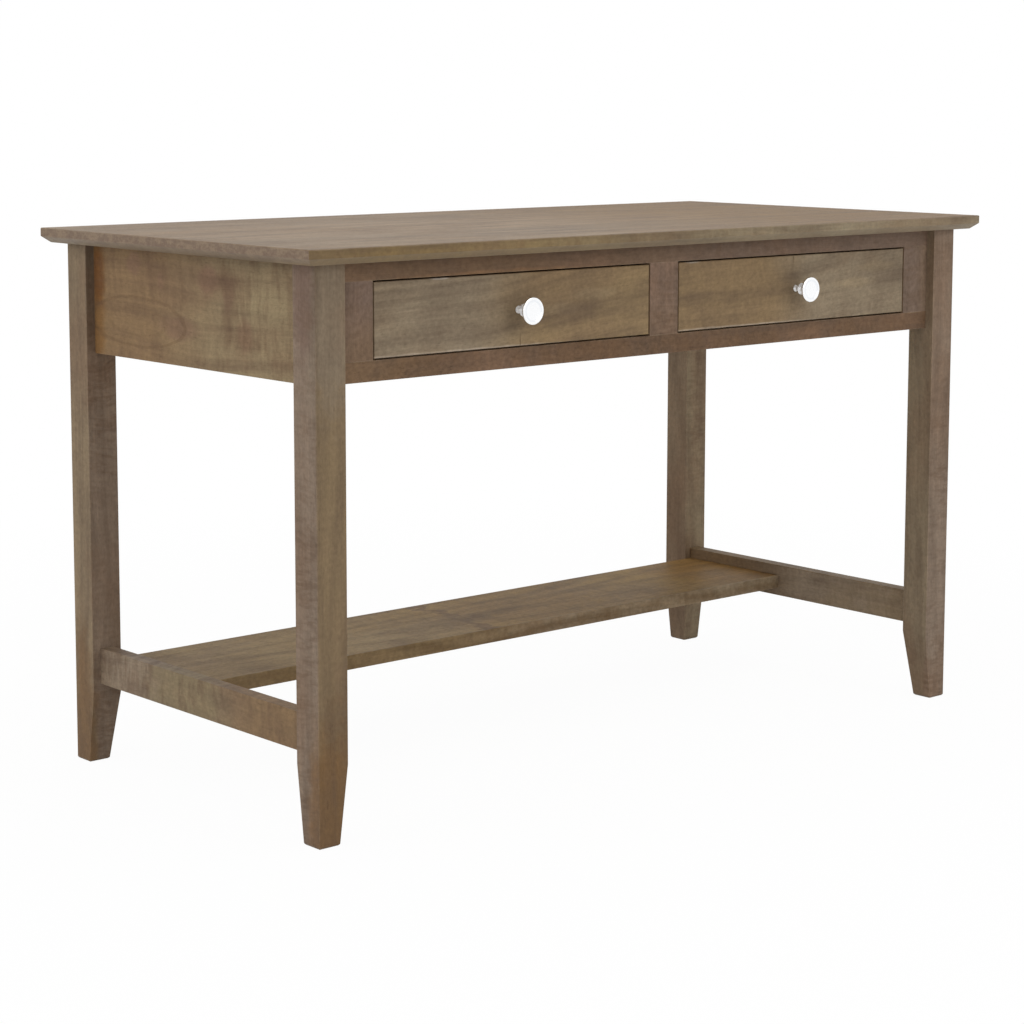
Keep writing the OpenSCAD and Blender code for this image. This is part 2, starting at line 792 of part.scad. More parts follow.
// Turned knob: foot, waist, trumpet collar, undercut and a dished face with a rolled rim
module knob_profile() {
    foot_r = knob_foot_d / 2;
    waist_r = knob_waist_d / 2;
    collar_r = knob_collar_d / 2;
    neck_r = knob_neck_d / 2;
    rim_r = knob_d / 2 - knob_rim;
    rim_h = knob_l - knob_rim;
    neck_h = knob_collar_h + knob_undercut;
    polygon(concat(
        [[0, 0], [foot_r, 0], [foot_r, knob_foot_h]],
        flare(waist_r, knob_waist_h, collar_r, knob_collar_h),
        [[collar_r, knob_collar_h + knob_collar_t]],
        flare(neck_r, neck_h, rim_r, rim_h - knob_rim),
        [for (a = [2 * turn_step - 90:2 * turn_step:90])
            [rim_r + knob_rim * cos(a), rim_h + knob_rim * sin(a)]],
        [for (a = [0:turn_step:90]) [knob_dish_d / 2 * cos(a), knob_l - knob_dish * sin(a)]]));
}

module knob(right) color(chrome) at_drawer(right) difference() {
    translate([0, front_y, face_mid_z]) rotate([90, 0, 0]) rotate_extrude() knob_profile();
    knob_screw_place() screw_hole(knob_screw_d, box_t + face_t + knob_bite);
}

desk_top();
desk_leg(false, false);  // leg_front_left
desk_leg(true, false);  // leg_front_right
desk_leg(false, true);  // leg_back_left
desk_leg(true, true);  // leg_back_right
apron_side(false);  // apron_left
apron_side(true);  // apron_right
apron_back();
front_top_rail();
front_low_rail();
stile(-in_x, side_stile_w);  // stile_left
stile(-mid_stile_w / 2, mid_stile_w);  // stile_centre
stile(in_x - side_stile_w, side_stile_w);  // stile_right
stretcher(false);  // stretcher_left
stretcher(true);  // stretcher_right
foot_board();
slide_rail(false, false);  // slide_rail_left_outer
slide_rail(false, true);  // slide_rail_left_inner
slide_rail(true, false);  // slide_rail_right_inner
slide_rail(true, true);  // slide_rail_right_outer
corner_blocks();
top_buttons();
top_screws();
board_screws();
cabinet_members();
cabinet_member_screws();
drawer_face(false);  // left_face
box_front(false);  // left_box_front
box_back(false);  // left_box_back
drawer_side(false, false);  // left_side_outer
drawer_side(false, true);  // left_side_inner
drawer_bottom(false);  // left_bottom
knob(false);  // left_knob
knob_screw(false);  // left_knob_screw
face_screws(false);  // left_face_screws
drawer_members(false);  // left_drawer_members
member_screws(false);  // left_member_screws
mid_members(false);  // left_mid_members
retainers(false, race_u1);  // left_outer_retainers
balls(false, race_u1);  // left_outer_balls
retainers(false, race_u2);  // left_inner_retainers
balls(false, race_u2);  // left_inner_balls
drawer_face(true);  // right_face
box_front(true);  // right_box_front
box_back(true);  // right_box_back
drawer_side(true, true);  // right_side_outer
drawer_side(true, false);  // right_side_inner
drawer_bottom(true);  // right_bottom
knob(true);  // right_knob
knob_screw(true);  // right_knob_screw
face_screws(true);  // right_face_screws
drawer_members(true);  // right_drawer_members
member_screws(true);  // right_member_screws
mid_members(true);  // right_mid_members
retainers(true, race_u1);  // right_outer_retainers
balls(true, race_u1);  // right_outer_balls
retainers(true, race_u2);  // right_inner_retainers
balls(true, race_u2);  // right_inner_balls
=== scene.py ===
# %% [markdown]
# Writing desk: the imported frame.
# The desk was first built as exact solids, one for each board, rail, screw and slide.
# Blender starts from those solids, so nothing has to be measured or fitted again: every
# piece already stands where it belongs, in metres, with the floor at height zero.
# The dressed desk may not grow past it.

# %% Load the imported solids
import math
import bmesh
import bpy
from mathutils import Matrix, Vector


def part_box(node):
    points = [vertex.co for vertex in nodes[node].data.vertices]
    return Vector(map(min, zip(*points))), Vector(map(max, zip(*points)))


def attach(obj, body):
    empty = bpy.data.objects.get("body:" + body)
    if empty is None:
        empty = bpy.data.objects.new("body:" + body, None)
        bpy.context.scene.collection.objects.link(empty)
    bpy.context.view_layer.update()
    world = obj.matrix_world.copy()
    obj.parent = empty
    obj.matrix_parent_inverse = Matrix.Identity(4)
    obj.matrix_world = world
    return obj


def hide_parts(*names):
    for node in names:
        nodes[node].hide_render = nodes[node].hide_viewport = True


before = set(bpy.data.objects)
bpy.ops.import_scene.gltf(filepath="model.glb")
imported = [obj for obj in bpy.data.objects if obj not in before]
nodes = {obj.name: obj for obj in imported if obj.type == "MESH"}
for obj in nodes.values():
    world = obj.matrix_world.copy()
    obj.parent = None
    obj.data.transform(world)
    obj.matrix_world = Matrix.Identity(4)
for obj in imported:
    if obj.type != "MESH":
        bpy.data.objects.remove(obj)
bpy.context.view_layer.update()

# %% [markdown]
# The camera.
# Furniture is photographed with a long lens from a few metres away, so that upright edges
# stay nearly parallel. Here the lens looks past the front left leg, a little above the top. A
# small downward shift of the frame keeps the legs upright, as a view camera does, where
# tilting the camera further would make them lean. Place, angles and focal length were found
# by fitting the desk's corners to the photograph.

# %% Camera at the photograph's angle
IMAGE_SIDE = 1024
SENSOR_WIDTH = 36.0
focal_pixels = 2473.79
camera_place = Vector((-2.43042, -2.72820, 0.95788))
turned_right, tilted_down, rolled = 0.7190, 0.1214, 0.0016  # radians
frame_shift = -0.12  # in widths of the picture


def camera_axes(turn, tilt, roll):
    """Right, up and forward of a camera that starts level and looks along +Y."""
    forward = Vector((math.sin(turn) * math.cos(tilt), math.cos(turn) * math.cos(tilt),
                      -math.sin(tilt)))
    right = Vector((math.cos(turn), -math.sin(turn), 0))
    up = right.cross(forward)
    return (right * math.cos(roll) + up * math.sin(roll),
            up * math.cos(roll) - right * math.sin(roll), forward)


right, up, forward = camera_axes(turned_right, tilted_down, rolled)
camera_data = bpy.data.cameras.new("view_camera")
camera_data.lens = SENSOR_WIDTH * focal_pixels / IMAGE_SIDE
camera_data.sensor_width = SENSOR_WIDTH
camera_data.shift_y = frame_shift
camera_data.clip_end = 60
camera = bpy.data.objects.new("view_camera", camera_data)
bpy.context.scene.collection.objects.link(camera)
turned = Matrix((right, up, -forward)).transposed()
camera.matrix_world = Matrix.Translation(camera_place) @ turned.to_4x4()
bpy.context.scene.camera = camera
print("lens, mm:", round(camera_data.lens, 2))

# %% [markdown]
# A small helper for node materials.
# A procedural material is a chain of small steps: take the place on the surface, stretch it,
# make a pattern, mix a colour with it. Each step is one node. Writing the links out by hand
# hides the idea, so this bench adds a node and plugs its sockets in one call.

# %% A bench to wire material nodes on
class Bench:
    """Adds shader nodes to one tree and plugs them together."""

    def __init__(self, tree):
        self.tree = tree

    def put(self, socket, value):
        """Plugs a link or a plain value into a socket."""
        if isinstance(value, bpy.types.NodeSocket):
            self.tree.links.new(value, socket)
        elif value is not None:
            socket.default_value = value

    def node(self, kind, plugs=None, **settings):
        """A new node with its settings and sockets filled in."""
        made = self.tree.nodes.new("ShaderNode" + kind)
        for key, value in settings.items():
            setattr(made, key, value)
        for key, value in (plugs or {}).items():
            self.put(made.inputs[key], value)
        return made

    def math(self, operation, a, b=None, c=None, clamp=False):
        """One step of arithmetic."""
        made = self.node("Math", {0: a, 1: b, 2: c}, operation=operation, use_clamp=clamp)
        return made.outputs[0]

    def times(self, a, b, plus=None):
        """A product, plus something where it is given."""
        return self.math("MULTIPLY" if plus is None else "MULTIPLY_ADD", a, b, plus)

    def vector(self, operation, a, b=None, scale=None):
        """One step of vector arithmetic."""
        plugs = {0: a, 1: b}
        if scale is not None:
            plugs["Scale"] = scale
        made = self.node("VectorMath", plugs, operation=operation)
        return made.outputs["Value" if operation in ("DOT_PRODUCT", "LENGTH") else 0]

    def stretch(self, place, scale, shift=(0, 0, 0), turn=(0, 0, 0)):
        """The place, turned, scaled and shifted."""
        plugs = {"Vector": place, "Location": shift, "Rotation": turn, "Scale": scale}
        return self.node("Mapping", plugs).outputs[0]

    def noise(self, place, scale, shift=(0, 0, 0), detail=2.0, rough=0.5, warp=0.0,
              colour=False):
        """Soft random clouds, as a number between 0 and 1 or as a random colour."""
        plugs = {"Vector": self.stretch(place, scale, shift), "Scale": 1.0,
                 "Detail": detail, "Roughness": rough, "Distortion": warp}
        return self.node("TexNoise", plugs).outputs[1 if colour else 0]

    def ease(self, value, low, high, to_low=0.0, to_high=1.0):
        """Maps low..high to to_low..to_high along a soft S curve, and holds it outside."""
        plugs = {"Value": value, "From Min": low, "From Max": high, "To Min": to_low,
                 "To Max": to_high}
        return self.node("MapRange", plugs, interpolation_type="SMOOTHSTEP").outputs[0]

    def mix(self, share, a, b, how="MIX"):
        """Mixes two colours."""
        made = self.node("Mix", data_type="RGBA", blend_type=how)
        self.put(made.inputs[0], share)
        self.put(made.inputs[6], a)
        self.put(made.inputs[7], b)
        return made.outputs[2]

    def add_share(self, total, pattern, strength, share):
        """The total plus pattern times strength times share."""
        return self.times(pattern, self.times(strength, share), plus=total)

    def here(self):
        """The place on the piece, in metres."""
        return self.node("TexCoord").outputs["Object"]

    def axes(self, vector):
        """The three numbers of a vector."""
        return self.node("SeparateXYZ", {0: vector}).outputs

    def surface(self, output, sockets, height, strength, relief):
        """The finished surface: a shader's sockets, over a relief that many metres deep."""
        bump = self.node("Bump", {"Strength": strength, "Distance": relief, "Height": height})
        skin = self.node("BsdfPrincipled", {"Normal": bump.outputs[0], **sockets})
        self.put(output.inputs[0], skin.outputs[0])

    def shaded(self, colour, shade):
        """A colour times a plain number."""
        grey = self.node("CombineColor", {0: shade, 1: shade, 2: shade}).outputs[0]
        return self.mix(1.0, colour, grey, "MULTIPLY")


def new_material(name):
    """An empty node material, its bench and its output node."""
    material = bpy.data.materials.new(name)
    material.use_nodes = True
    material.node_tree.nodes.clear()
    bench = Bench(material.node_tree)
    return material, bench, bench.node("OutputMaterial")


print("bench ready")

# %% [markdown]
# The studio.
# The photograph is a cut-out on pure white under very soft light: the top is brightest, the
# front and the side are alike, and the rail under the overhang is darker. One wide lamp
# overhead and two in front do that. Only the camera, polished metal and glass see the white:
# the light path tells those rays apart, so it adds no light to the wood, and the floor still
# takes the desk's shadow.

# %% Floor, sky and soft lamps
SEEN_WHITE = 0.965  # share of the floor that is plain white to the camera, near the desk


def seen_ray(bench):
    """1 for rays from the camera, or by way of a reflection or glass, 0 for light."""
    rays = bench.node("LightPath").outputs
    bounced = bench.math("MAXIMUM", rays["Is Glossy Ray"], rays["Is Transmission Ray"])
    return bench.math("MAXIMUM", rays["Is Camera Ray"], bounced)


def make_floor(side):
    """A pale floor that is white to the eye and still takes a shadow."""
    bpy.ops.object.select_all(action="DESELECT")
    bpy.ops.mesh.primitive_plane_add(size=side, location=(0, 0, 0))
    floor = bpy.context.object
    floor.name = "studio_floor"
    material, bench, output = new_material("studio_paper")
    paper = bench.node("BsdfDiffuse", {"Color": (0.86, 0.86, 0.86, 1)})
    white = bench.node("Emission", {"Color": (1, 1, 1, 1), "Strength": 1.0})
    far = bench.vector("LENGTH", bench.here())
    share = bench.times(seen_ray(bench), bench.ease(far, 0.9, 2.2, SEEN_WHITE, 1.0))
    both = bench.node("MixShader", {0: share, 1: paper.outputs[0], 2: white.outputs[0]})
    bench.put(output.inputs[0], both.outputs[0])
    floor.data.materials.append(material)


def make_sky(strength):
    """Even light from all round, seen as plain white."""
    world = bpy.data.worlds.new("studio_sky")
    bpy.context.scene.world = world
    world.use_nodes = True
    world.node_tree.nodes.clear()
    bench = Bench(world.node_tree)
    light = bench.node("Background", {"Color": (1, 1, 1, 1), "Strength": strength})
    seen = bench.node("Background", {"Color": (1, 1, 1, 1), "Strength": 1.0})
    both = bench.node("MixShader", {0: seen_ray(bench), 1: light.outputs[0],
                                    2: seen.outputs[0]})
    bench.put(bench.node("OutputWorld").inputs[0], both.outputs[0])


def soft_lamp(name, place, aim, size, power):
    """A square lamp of a given size that looks from place to aim."""
    lamp_data = bpy.data.lights.new(name, "AREA")
    lamp_data.shape = "SQUARE"
    lamp_data.size = size
    lamp_data.energy = power
    lamp = bpy.data.objects.new(name, lamp_data)
    bpy.context.scene.collection.objects.link(lamp)
    lamp.location = place
    lamp.rotation_euler = (Vector(aim) - Vector(place)).to_track_quat("-Z", "Y").to_euler()


make_floor(side=14)
make_sky(strength=0.62)
soft_lamp("lamp_overhead", (0, -0.3, 3.2), aim=(0, 0, 0.5), size=3.0, power=33)
soft_lamp("lamp_front", (0.6, -3.6, 2.0), aim=(0, 0, 0.45), size=2.2, power=31)
soft_lamp("lamp_side", (-3.6, 0.2, 2.0), aim=(0, 0, 0.45), size=2.2, power=31)
print("lamps:", [light.name for light in bpy.data.lights])

# %% [markdown]
# The stain.
# The whole desk has one grey-brown stain, but wood takes stain unevenly, so some boards turn
# out ashy, some olive and some russet. Each tone is named once, as the eye sees it, and turned
# into the light that Blender counts in.

# %% Stain tones
def tone(red, green, blue):
    """A tone given as the eye sees it, 0 to 255, as Blender's linear colour."""
    return tuple(((v / 255 + 0.055) / 1.055) ** 2.4 for v in (red, green, blue)) + (1.0,)


def between(first, last, share):
    """A tone part of the way from one to another."""
    return tuple(a + (b - a) * share for a, b in zip(first, last))


ASH = tone(136, 121, 102)
SAND = tone(146, 128, 106)
OLIVE = tone(134, 119, 90)
UMBER = tone(122, 100, 76)
RUSSET = tone(130, 98, 72)
MAUVE = tone(126, 107, 93)
DOVE = tone(133, 116, 100)
ROSE = tone(128, 97, 80)
BLUSH = between(RUSSET, MAUVE, 0.3)
MOSS = between(UMBER, OLIVE, 0.4)
BARK = tone(115, 85, 53)
SMOKE = tone(90, 74, 61)
print("ash, linear:", [round(v, 3) for v in ASH[:3]])

# %% [markdown]
# Marks along the board.
# Seen close, a hardwood board shows four things at once: long flames from the yearly rings,
# fine fibres and pores along it, ripples across it where the fibres curl, and blotches where
# the stain bit deeper. All are stretched noise. X runs along the grain here, so a small number
# for X and large ones for Y and Z give long thin marks. The flames are contour lines: a sine
# of soft clouds rises and falls many times. No board is dead straight, so all of this is
# drawn on a place that wanders by a centimetre or so.

# %% Flames, streaks, fibres and pores
RINGS_IN_CLOUDS = 64.0
PORES = (95.0, 1500.0, 1500.0)  # marks in a metre, along and across the board


def wander(b, place, stretch, detail, reach):
    """A soft random shift, up to half of reach each way."""
    clouds = b.noise(place, stretch, detail=detail, colour=True)
    return b.vector("SCALE", b.vector("SUBTRACT", clouds, (0.5, 0.5, 0.5)), scale=reach)


def marks_along(b, bent):
    """Late and early wood of the rings, streaks, fine lines, fibres and pores."""
    clouds = b.noise(bent, (0.8, 6.0, 6.0), detail=1.2, rough=0.4, warp=0.35)
    rings = b.math("SINE", b.times(clouds, RINGS_IN_CLOUDS))
    ticks = b.noise(bent, PORES, detail=1.0)
    return {
        "late": b.ease(rings, -0.2, 1.0),
        "early": b.ease(rings, -1.0, -0.2, 1.0, 0.0),
        "streak": b.noise(bent, (1.9, 42.0, 42.0), detail=4.0, rough=0.62),
        "line": b.noise(bent, (3.0, 210.0, 210.0), detail=2.5, rough=0.6),
        "fibre": b.noise(bent, (30.0, 620.0, 620.0), rough=0.6),
        "pore": b.ease(ticks, 0.62, 0.74)}


print("pore marks, mm:", [round(1000 / count, 1) for count in PORES])

# %% [markdown]
# Marks across the board.
# Where the fibres curl, the board shows ripples at right angles to its length, so now X gets
# the large number. Broad bands have short narrow ones inside them, weave a little, and come
# and go along a board. The number called fine draws them closer together for a narrow board
# such as a leg.

# %% Ripples
BROAD_RIPPLES = (26.0, 8.0, 8.0)


def marks_across(b, place, bent, curl, fine):
    """Narrow ripples, both kinds together, and how strong they are at this place."""
    woven = b.vector("ADD", bent, wander(b, place, (7.0, 10.0, 10.0), 1.0, 0.04))
    woven = b.vector("SCALE", woven, scale=fine)
    broad = b.noise(woven, BROAD_RIPPLES, warp=0.4)
    narrow = b.noise(woven, (95.0, 22.0, 22.0), detail=2.5, rough=0.6)
    patchy = b.noise(place, (2.6, 5.0, 5.0), shift=(7.0, 1.0, 3.0))
    return {
        "narrow": narrow,
        "ripple": b.times(narrow, 0.5, plus=b.times(broad, 0.5)),
        "curl": b.times(curl, b.ease(patchy, 0.36, 0.62, 0.3, 1.25))}


print("broad ripples, mm:", [round(1000 / count) for count in BROAD_RIPPLES])

# %% [markdown]
# How the stain takes.
# Soft parts of the wood drink more stain than hard ones. So the marks are first added up into
# one number, how deep the stain went, and that mixes the board's tone with a deep one. What is
# only lighter or darker, such as pale fibres and dark pores, is multiplied on afterwards. The
# same marks give the surface its roughness and relief, so that gloss and colour fit together.

# %% Colour, shade, roughness and relief from the marks
def stain_colour(b, place, given, marks):
    """The board's tone with warmer clouds, deeper where the wood drank more."""
    blotch = b.noise(place, (13.0, 20.0, 20.0), detail=4.0, rough=0.62)
    cloud = b.noise(place, (4.6, 9.0, 9.0), shift=(4.0, 9.0, 2.0), detail=3.0, rough=0.55)
    warm = b.times(b.ease(marks["ripple"], 0.46, 0.62), b.times(marks["curl"], 0.5))
    warm = b.math("ADD", b.ease(cloud, 0.44, 0.68, 0.0, 0.55), warm, clamp=True)
    tint = b.mix(warm, given["Tone"], given["Blush"])
    deep = b.times(b.ease(marks["streak"], 0.42, 0.75), 0.4)
    deep = b.add_share(deep, marks["late"], given["Flame"], 0.42)
    deep = b.add_share(deep, b.ease(marks["ripple"], 0.42, 0.66), marks["curl"], 0.42)
    deep = b.add_share(deep, b.ease(blotch, 0.4, 0.72), given["Blotch"], 0.7)
    return b.mix(b.math("MINIMUM", deep, 0.9), tint, given["Deep"])


def shade_of(b, place, given, marks):
    """Pale fibres and ripples, mottling and dark pores, as one number near 1."""
    mottle = b.noise(place, (150.0, 190.0, 190.0), detail=3.0, rough=0.62)
    shade = b.times(marks["fibre"], 0.2, plus=0.9)
    shade = b.add_share(shade, b.math("SUBTRACT", 0.5, marks["narrow"]), marks["curl"], 0.5)
    shade = b.add_share(shade, b.math("SUBTRACT", mottle, 0.5), given["Blotch"], 1.8)
    shade = b.times(b.math("SUBTRACT", marks["line"], 0.5), -0.26, plus=shade)
    shade = b.add_share(shade, marks["early"], given["Flame"], 0.12)
    return b.math("SUBTRACT", shade, b.times(marks["pore"], 0.2))


def touch_of(b, marks):
    """Roughness, and the height of the relief."""
    rough = b.times(marks["fibre"], 0.16, plus=0.44)
    rough = b.times(marks["pore"], 0.18, plus=rough)
    rough = b.add_share(rough, b.math("SUBTRACT", marks["ripple"], 0.5), marks["curl"], 0.3)
    height = b.times(marks["late"], 0.25)
    height = b.times(marks["fibre"], 0.5, plus=height)
    return rough, b.math("SUBTRACT", height, b.times(marks["pore"], 0.9))


print("colour, shade and touch read the same marks")

# %% [markdown]
# The figure as one group.
# All boards share the recipe, so it is wired once, as a node group with a few sockets for what
# differs: the place, three tones, and how strong flames, ripples and blotches are. Because the
# pattern is a solid one, the end of a board shows its pores as dots, as cut end grain does.

# %% Node group with the figure of the stained hardwood
FIGURE_SOCKETS = (
    ("Place", "Vector", (0, 0, 0)), ("Tone", "Color", ASH), ("Deep", "Color", SMOKE),
    ("Blush", "Color", RUSSET), ("Flame", "Float", 0.3), ("Curl", "Float", 0.3),
    ("Blotch", "Float", 0.3), ("Fine", "Float", 1.0))


def make_figure_group():
    """Colour, roughness and relief of stained hardwood with its grain along X."""
    group = bpy.data.node_groups.new("hardwood_figure", "ShaderNodeTree")
    for name, kind, default in FIGURE_SOCKETS:
        group.interface.new_socket(
            name, in_out="INPUT", socket_type="NodeSocket" + kind).default_value = default
    for name, kind in (("Color", "Color"), ("Roughness", "Float"), ("Height", "Float")):
        group.interface.new_socket(name, in_out="OUTPUT", socket_type="NodeSocket" + kind)
    b = Bench(group)
    given = group.nodes.new("NodeGroupInput").outputs
    place = given["Place"]
    bent = b.vector("ADD", place, wander(b, place, (2.2, 3.0, 3.0), 1.5, 0.055))
    marks = marks_along(b, bent)
    marks.update(marks_across(b, place, bent, given["Curl"], given["Fine"]))
    colour = b.shaded(stain_colour(b, place, given, marks), shade_of(b, place, given, marks))
    rough, height = touch_of(b, marks)
    done = group.nodes.new("NodeGroupOutput").inputs
    b.put(done["Color"], colour)
    b.put(done["Roughness"], rough)
    b.put(done["Height"], height)
    return group


figure_group = make_figure_group()
print("nodes in the figure:", len(figure_group.nodes))

# %% [markdown]
# Worn edges and varnish.
# Along the arrises the stain is rubbed thin. A bevel node feels where an edge is near, because
# it bends the normal there. Noise breaks the line up, as hands and cloths do not rub evenly.
# Over everything lies a plain satin varnish, with the relief of the pores under it.

# %% Edges and varnish
WORN_EDGE = tone(168, 149, 124)
VARNISH = {"IOR": 1.5, "Specular IOR Level": 0.1}
PORE_RELIEF = 0.00022


def true_normal(b):
    """The direction that the flat surface faces."""
    return b.node("NewGeometry").outputs["True Normal"]


def near_edge(b, reach):
    """1 close to an outside edge, 0 on the flat of a board."""
    rounded = b.node("Bevel", {"Radius": reach}, samples=4).outputs[0]
    bend = b.math("SUBTRACT", 1.0, b.vector("DOT_PRODUCT", rounded, true_normal(b)))
    return b.ease(bend, 0.01, 0.16)


def rubbed(b, here, colour, reach, share):
    """The colour, worn pale along the edges in some places more than in others."""
    patchy = b.noise(here, (40, 40, 40), detail=3.0)
    worn = b.times(near_edge(b, reach), b.ease(patchy, 0.3, 0.7, 0.0, share))
    return b.mix(worn, colour, WORN_EDGE)


def varnished(b, output, colour, figure):
    """Satin varnish over a colour, with the figure's roughness and relief."""
    sockets = {"Base Color": colour, "Roughness": figure.outputs["Roughness"], **VARNISH}
    b.surface(output, sockets, figure.outputs["Height"], strength=0.55, relief=PORE_RELIEF)


def figured(b, **plugs):
    """The figure group with its sockets filled in."""
    figure = b.node("Group", node_tree=figure_group)
    for key, value in plugs.items():
        b.put(figure.inputs[key], value)
    return figure


print("worn edge, linear:", [round(v, 3) for v in WORN_EDGE[:3]])

# %% [markdown]
# What makes one board differ from the next.
# The tone may drift from one end of a board to the other, or from one face of a leg to the
# next, where heartwood meets sapwood, and on some legs where a shaded face gets painted light.
# On top of that come patches at chosen places: a soft cloud, or a thin ring where the saw cut
# through a growth ring; a few of the clouds are painted shadow or painted highlight. Beside a
# gap the stain hardly reached, and bare wood shows; its pale tone is also painted light that
# lifts the shade in the gap. Cut ends drink a lot of finish and turn dark. The normal of the
# surface tells where it looks into a gap and where an end is.

# %% Drift, patches, gaps and cut ends
# Pale bare wood for the gaps, also painted light that lifts their shade.
BARE_AND_LIT_WOOD = tone(176, 146, 112)
RAGGED_CLOUD, RAGGED_RING = 0.7, 0.2
RING_LINE = 1.1  # a ring's line lies this many radii from its middle


def drifted(b, here, drift, span, blur):
    """0 before span along drift, 1 after it, with a ragged change between them."""
    along = b.vector("DOT_PRODUCT", here, drift)
    cloud = b.math("SUBTRACT", b.noise(here, (9, 9, 9)), 0.5)
    return b.ease(b.times(cloud, blur, plus=along), span[0], span[1])


def patched(b, here, tint, patches):
    """Soft clouds of other tones, each (middle, radii, tone, share). A fifth number makes it
    a ring of that width."""
    for middle, radii, colour, share, *ring in patches:
        off = b.vector("DIVIDE", b.vector("SUBTRACT", here, middle), radii)
        ragged = b.noise(here, (45, 45, 45), detail=3.0)
        edge = b.times(ragged, RAGGED_RING if ring else RAGGED_CLOUD,
                       plus=b.vector("LENGTH", off))
        if ring:
            edge = b.math("ABSOLUTE", b.math("SUBTRACT", edge, RING_LINE))
            edge = b.math("DIVIDE", edge, ring[0])
        tint = b.mix(b.ease(edge, 0.75, 1.35, share, 0.0), tint, colour)
    return tint


def facing(b, axis):
    """How squarely the surface looks along an axis, one way or the other."""
    return b.math("ABSOLUTE", b.vector("DOT_PRODUCT", true_normal(b), axis))


def bare_and_lit_gaps(b, colour, share):
    """Bare wood wherever the board looks into a gap, away from the front and the back; its pale
    tone is also painted light that lifts the gap's shade.
    """
    return b.mix(b.ease(facing(b, (0, 1, 0)), 0.05, 0.3, share, 0.0), colour, BARE_AND_LIT_WOOD)


def dark_ends(b, here, colour, grain, cut):
    """Cut ends in a darker tone, with the pores as dots."""
    drunk = b.ease(facing(b, tuple(float(name == grain) for name in "xyz")), 0.6, 0.9)
    dots = b.noise(here, (700, 700, 700))
    return b.mix(b.times(drunk, b.ease(dots, 0.3, 0.7, 0.55, 0.9)), colour, cut)


print("bare wood, linear:", [round(v, 3) for v in BARE_AND_LIT_WOOD[:3]])

# %% [markdown]
# A material for each board.
# Every board is cut from another place in the tree, so each gets its own shift in the pattern,
# and the pattern is turned along its own length. Then the helpers are put in a row: place,
# tone, patches, figure, worn edges, gaps and ends, varnish.

# %% Stained hardwood for one board
TURNS = {"x": (0, 0, 0), "y": (0, 0, -math.pi / 2), "z": (0, math.pi / 2, 0)}
SEED_STEP = (1.7, 0.83, 2.3)


def stained(name, grain, seed, first, last, drift=(1, 0, 0), span=(0, 1), blur=0.05,
            flame=0.3, curl=0.3, blotch=0.3, fine=1.0, blush=BLUSH, deep=SMOKE,
            before=None, patches=(), bare_and_lit=0.0, cut=None):
    """The stain on one board. The tone drifts from first to last along drift, over span, and
    so does the curl where two are given."""
    material, b, output = new_material(name)
    here = b.here()
    place = before(b, here) if before else here
    place = b.stretch(place, (1, 1, 1), turn=TURNS[grain])
    place = b.stretch(place, (1, 1, 1), shift=tuple(step * seed for step in SEED_STEP))
    passed = drifted(b, here, drift, span, blur)
    tint = patched(b, here, b.mix(passed, first, last), patches)
    if isinstance(curl, tuple):
        curl = b.times(passed, curl[1] - curl[0], plus=curl[0])
    figure = figured(b, Place=place, Tone=tint, Deep=deep, Blush=blush, Flame=flame,
                     Curl=curl, Blotch=blotch, Fine=fine)
    colour = rubbed(b, here, figure.outputs["Color"], reach=0.002, share=0.44)
    if bare_and_lit:
        colour = bare_and_lit_gaps(b, colour, bare_and_lit)
    if cut:
        colour = dark_ends(b, here, colour, grain, cut)
    varnished(b, output, colour, figure)
    return material


print("grain can run along:", sorted(TURNS))

# %% [markdown]
# Easing the edges.
# Before stain goes on, a joiner takes the sharpness off each long edge with fine paper, about
# half a millimetre. It is tiny, but it catches the light, and a render without it looks cut
# from paper. The solids are copied, their loose triangles merged back into whole faces, and
# only the long outside edges are bevelled, so that joints stay tight and holes stay clean.

# %% Copy a solid and round over its long edges
SHARP = math.radians(20)  # faces that meet at more than this make an edge
LONG_EDGE = 0.05
MEMBER_ARRIS = 0.0006
ARRIS_STEPS = 3


def deselect_all():
    """Leaves edit mode and selects nothing."""
    if bpy.context.object and bpy.context.object.mode != "OBJECT":
        bpy.ops.object.mode_set(mode="OBJECT")
    bpy.ops.object.select_all(action="DESELECT")


def work_on(piece):
    """Makes piece the one selected and active object."""
    deselect_all()
    piece.select_set(True)
    bpy.context.view_layer.objects.active = piece


def copied(source, name):
    """A copy with a mesh of its own, selected and active."""
    piece = bpy.data.objects.new(name, source.data.copy())
    bpy.context.scene.collection.objects.link(piece)
    work_on(piece)
    return piece


def whole_copy(node, name):
    """A copy of a CAD solid with its triangles merged into whole faces, in edit mode."""
    piece = copied(nodes[node], name)
    bpy.ops.object.mode_set(mode="EDIT")
    bpy.ops.mesh.select_all(action="SELECT")
    bpy.ops.mesh.remove_doubles(threshold=0.00002)
    bpy.ops.mesh.dissolve_limited(angle_limit=math.radians(0.5))
    return piece


def choose_edges(piece, wanted):
    """Selects the sharp outside edges for which wanted(start, end) is true."""
    mesh = bmesh.from_edit_mesh(piece.data)
    count = 0
    for edge in mesh.edges:
        outside = len(edge.link_faces) == 2 and edge.is_convex
        if outside and edge.calc_face_angle() > SHARP and wanted(*(v.co for v in edge.verts)):
            edge.select = True
            count += 1
    bmesh.update_edit_mesh(piece.data)
    return count


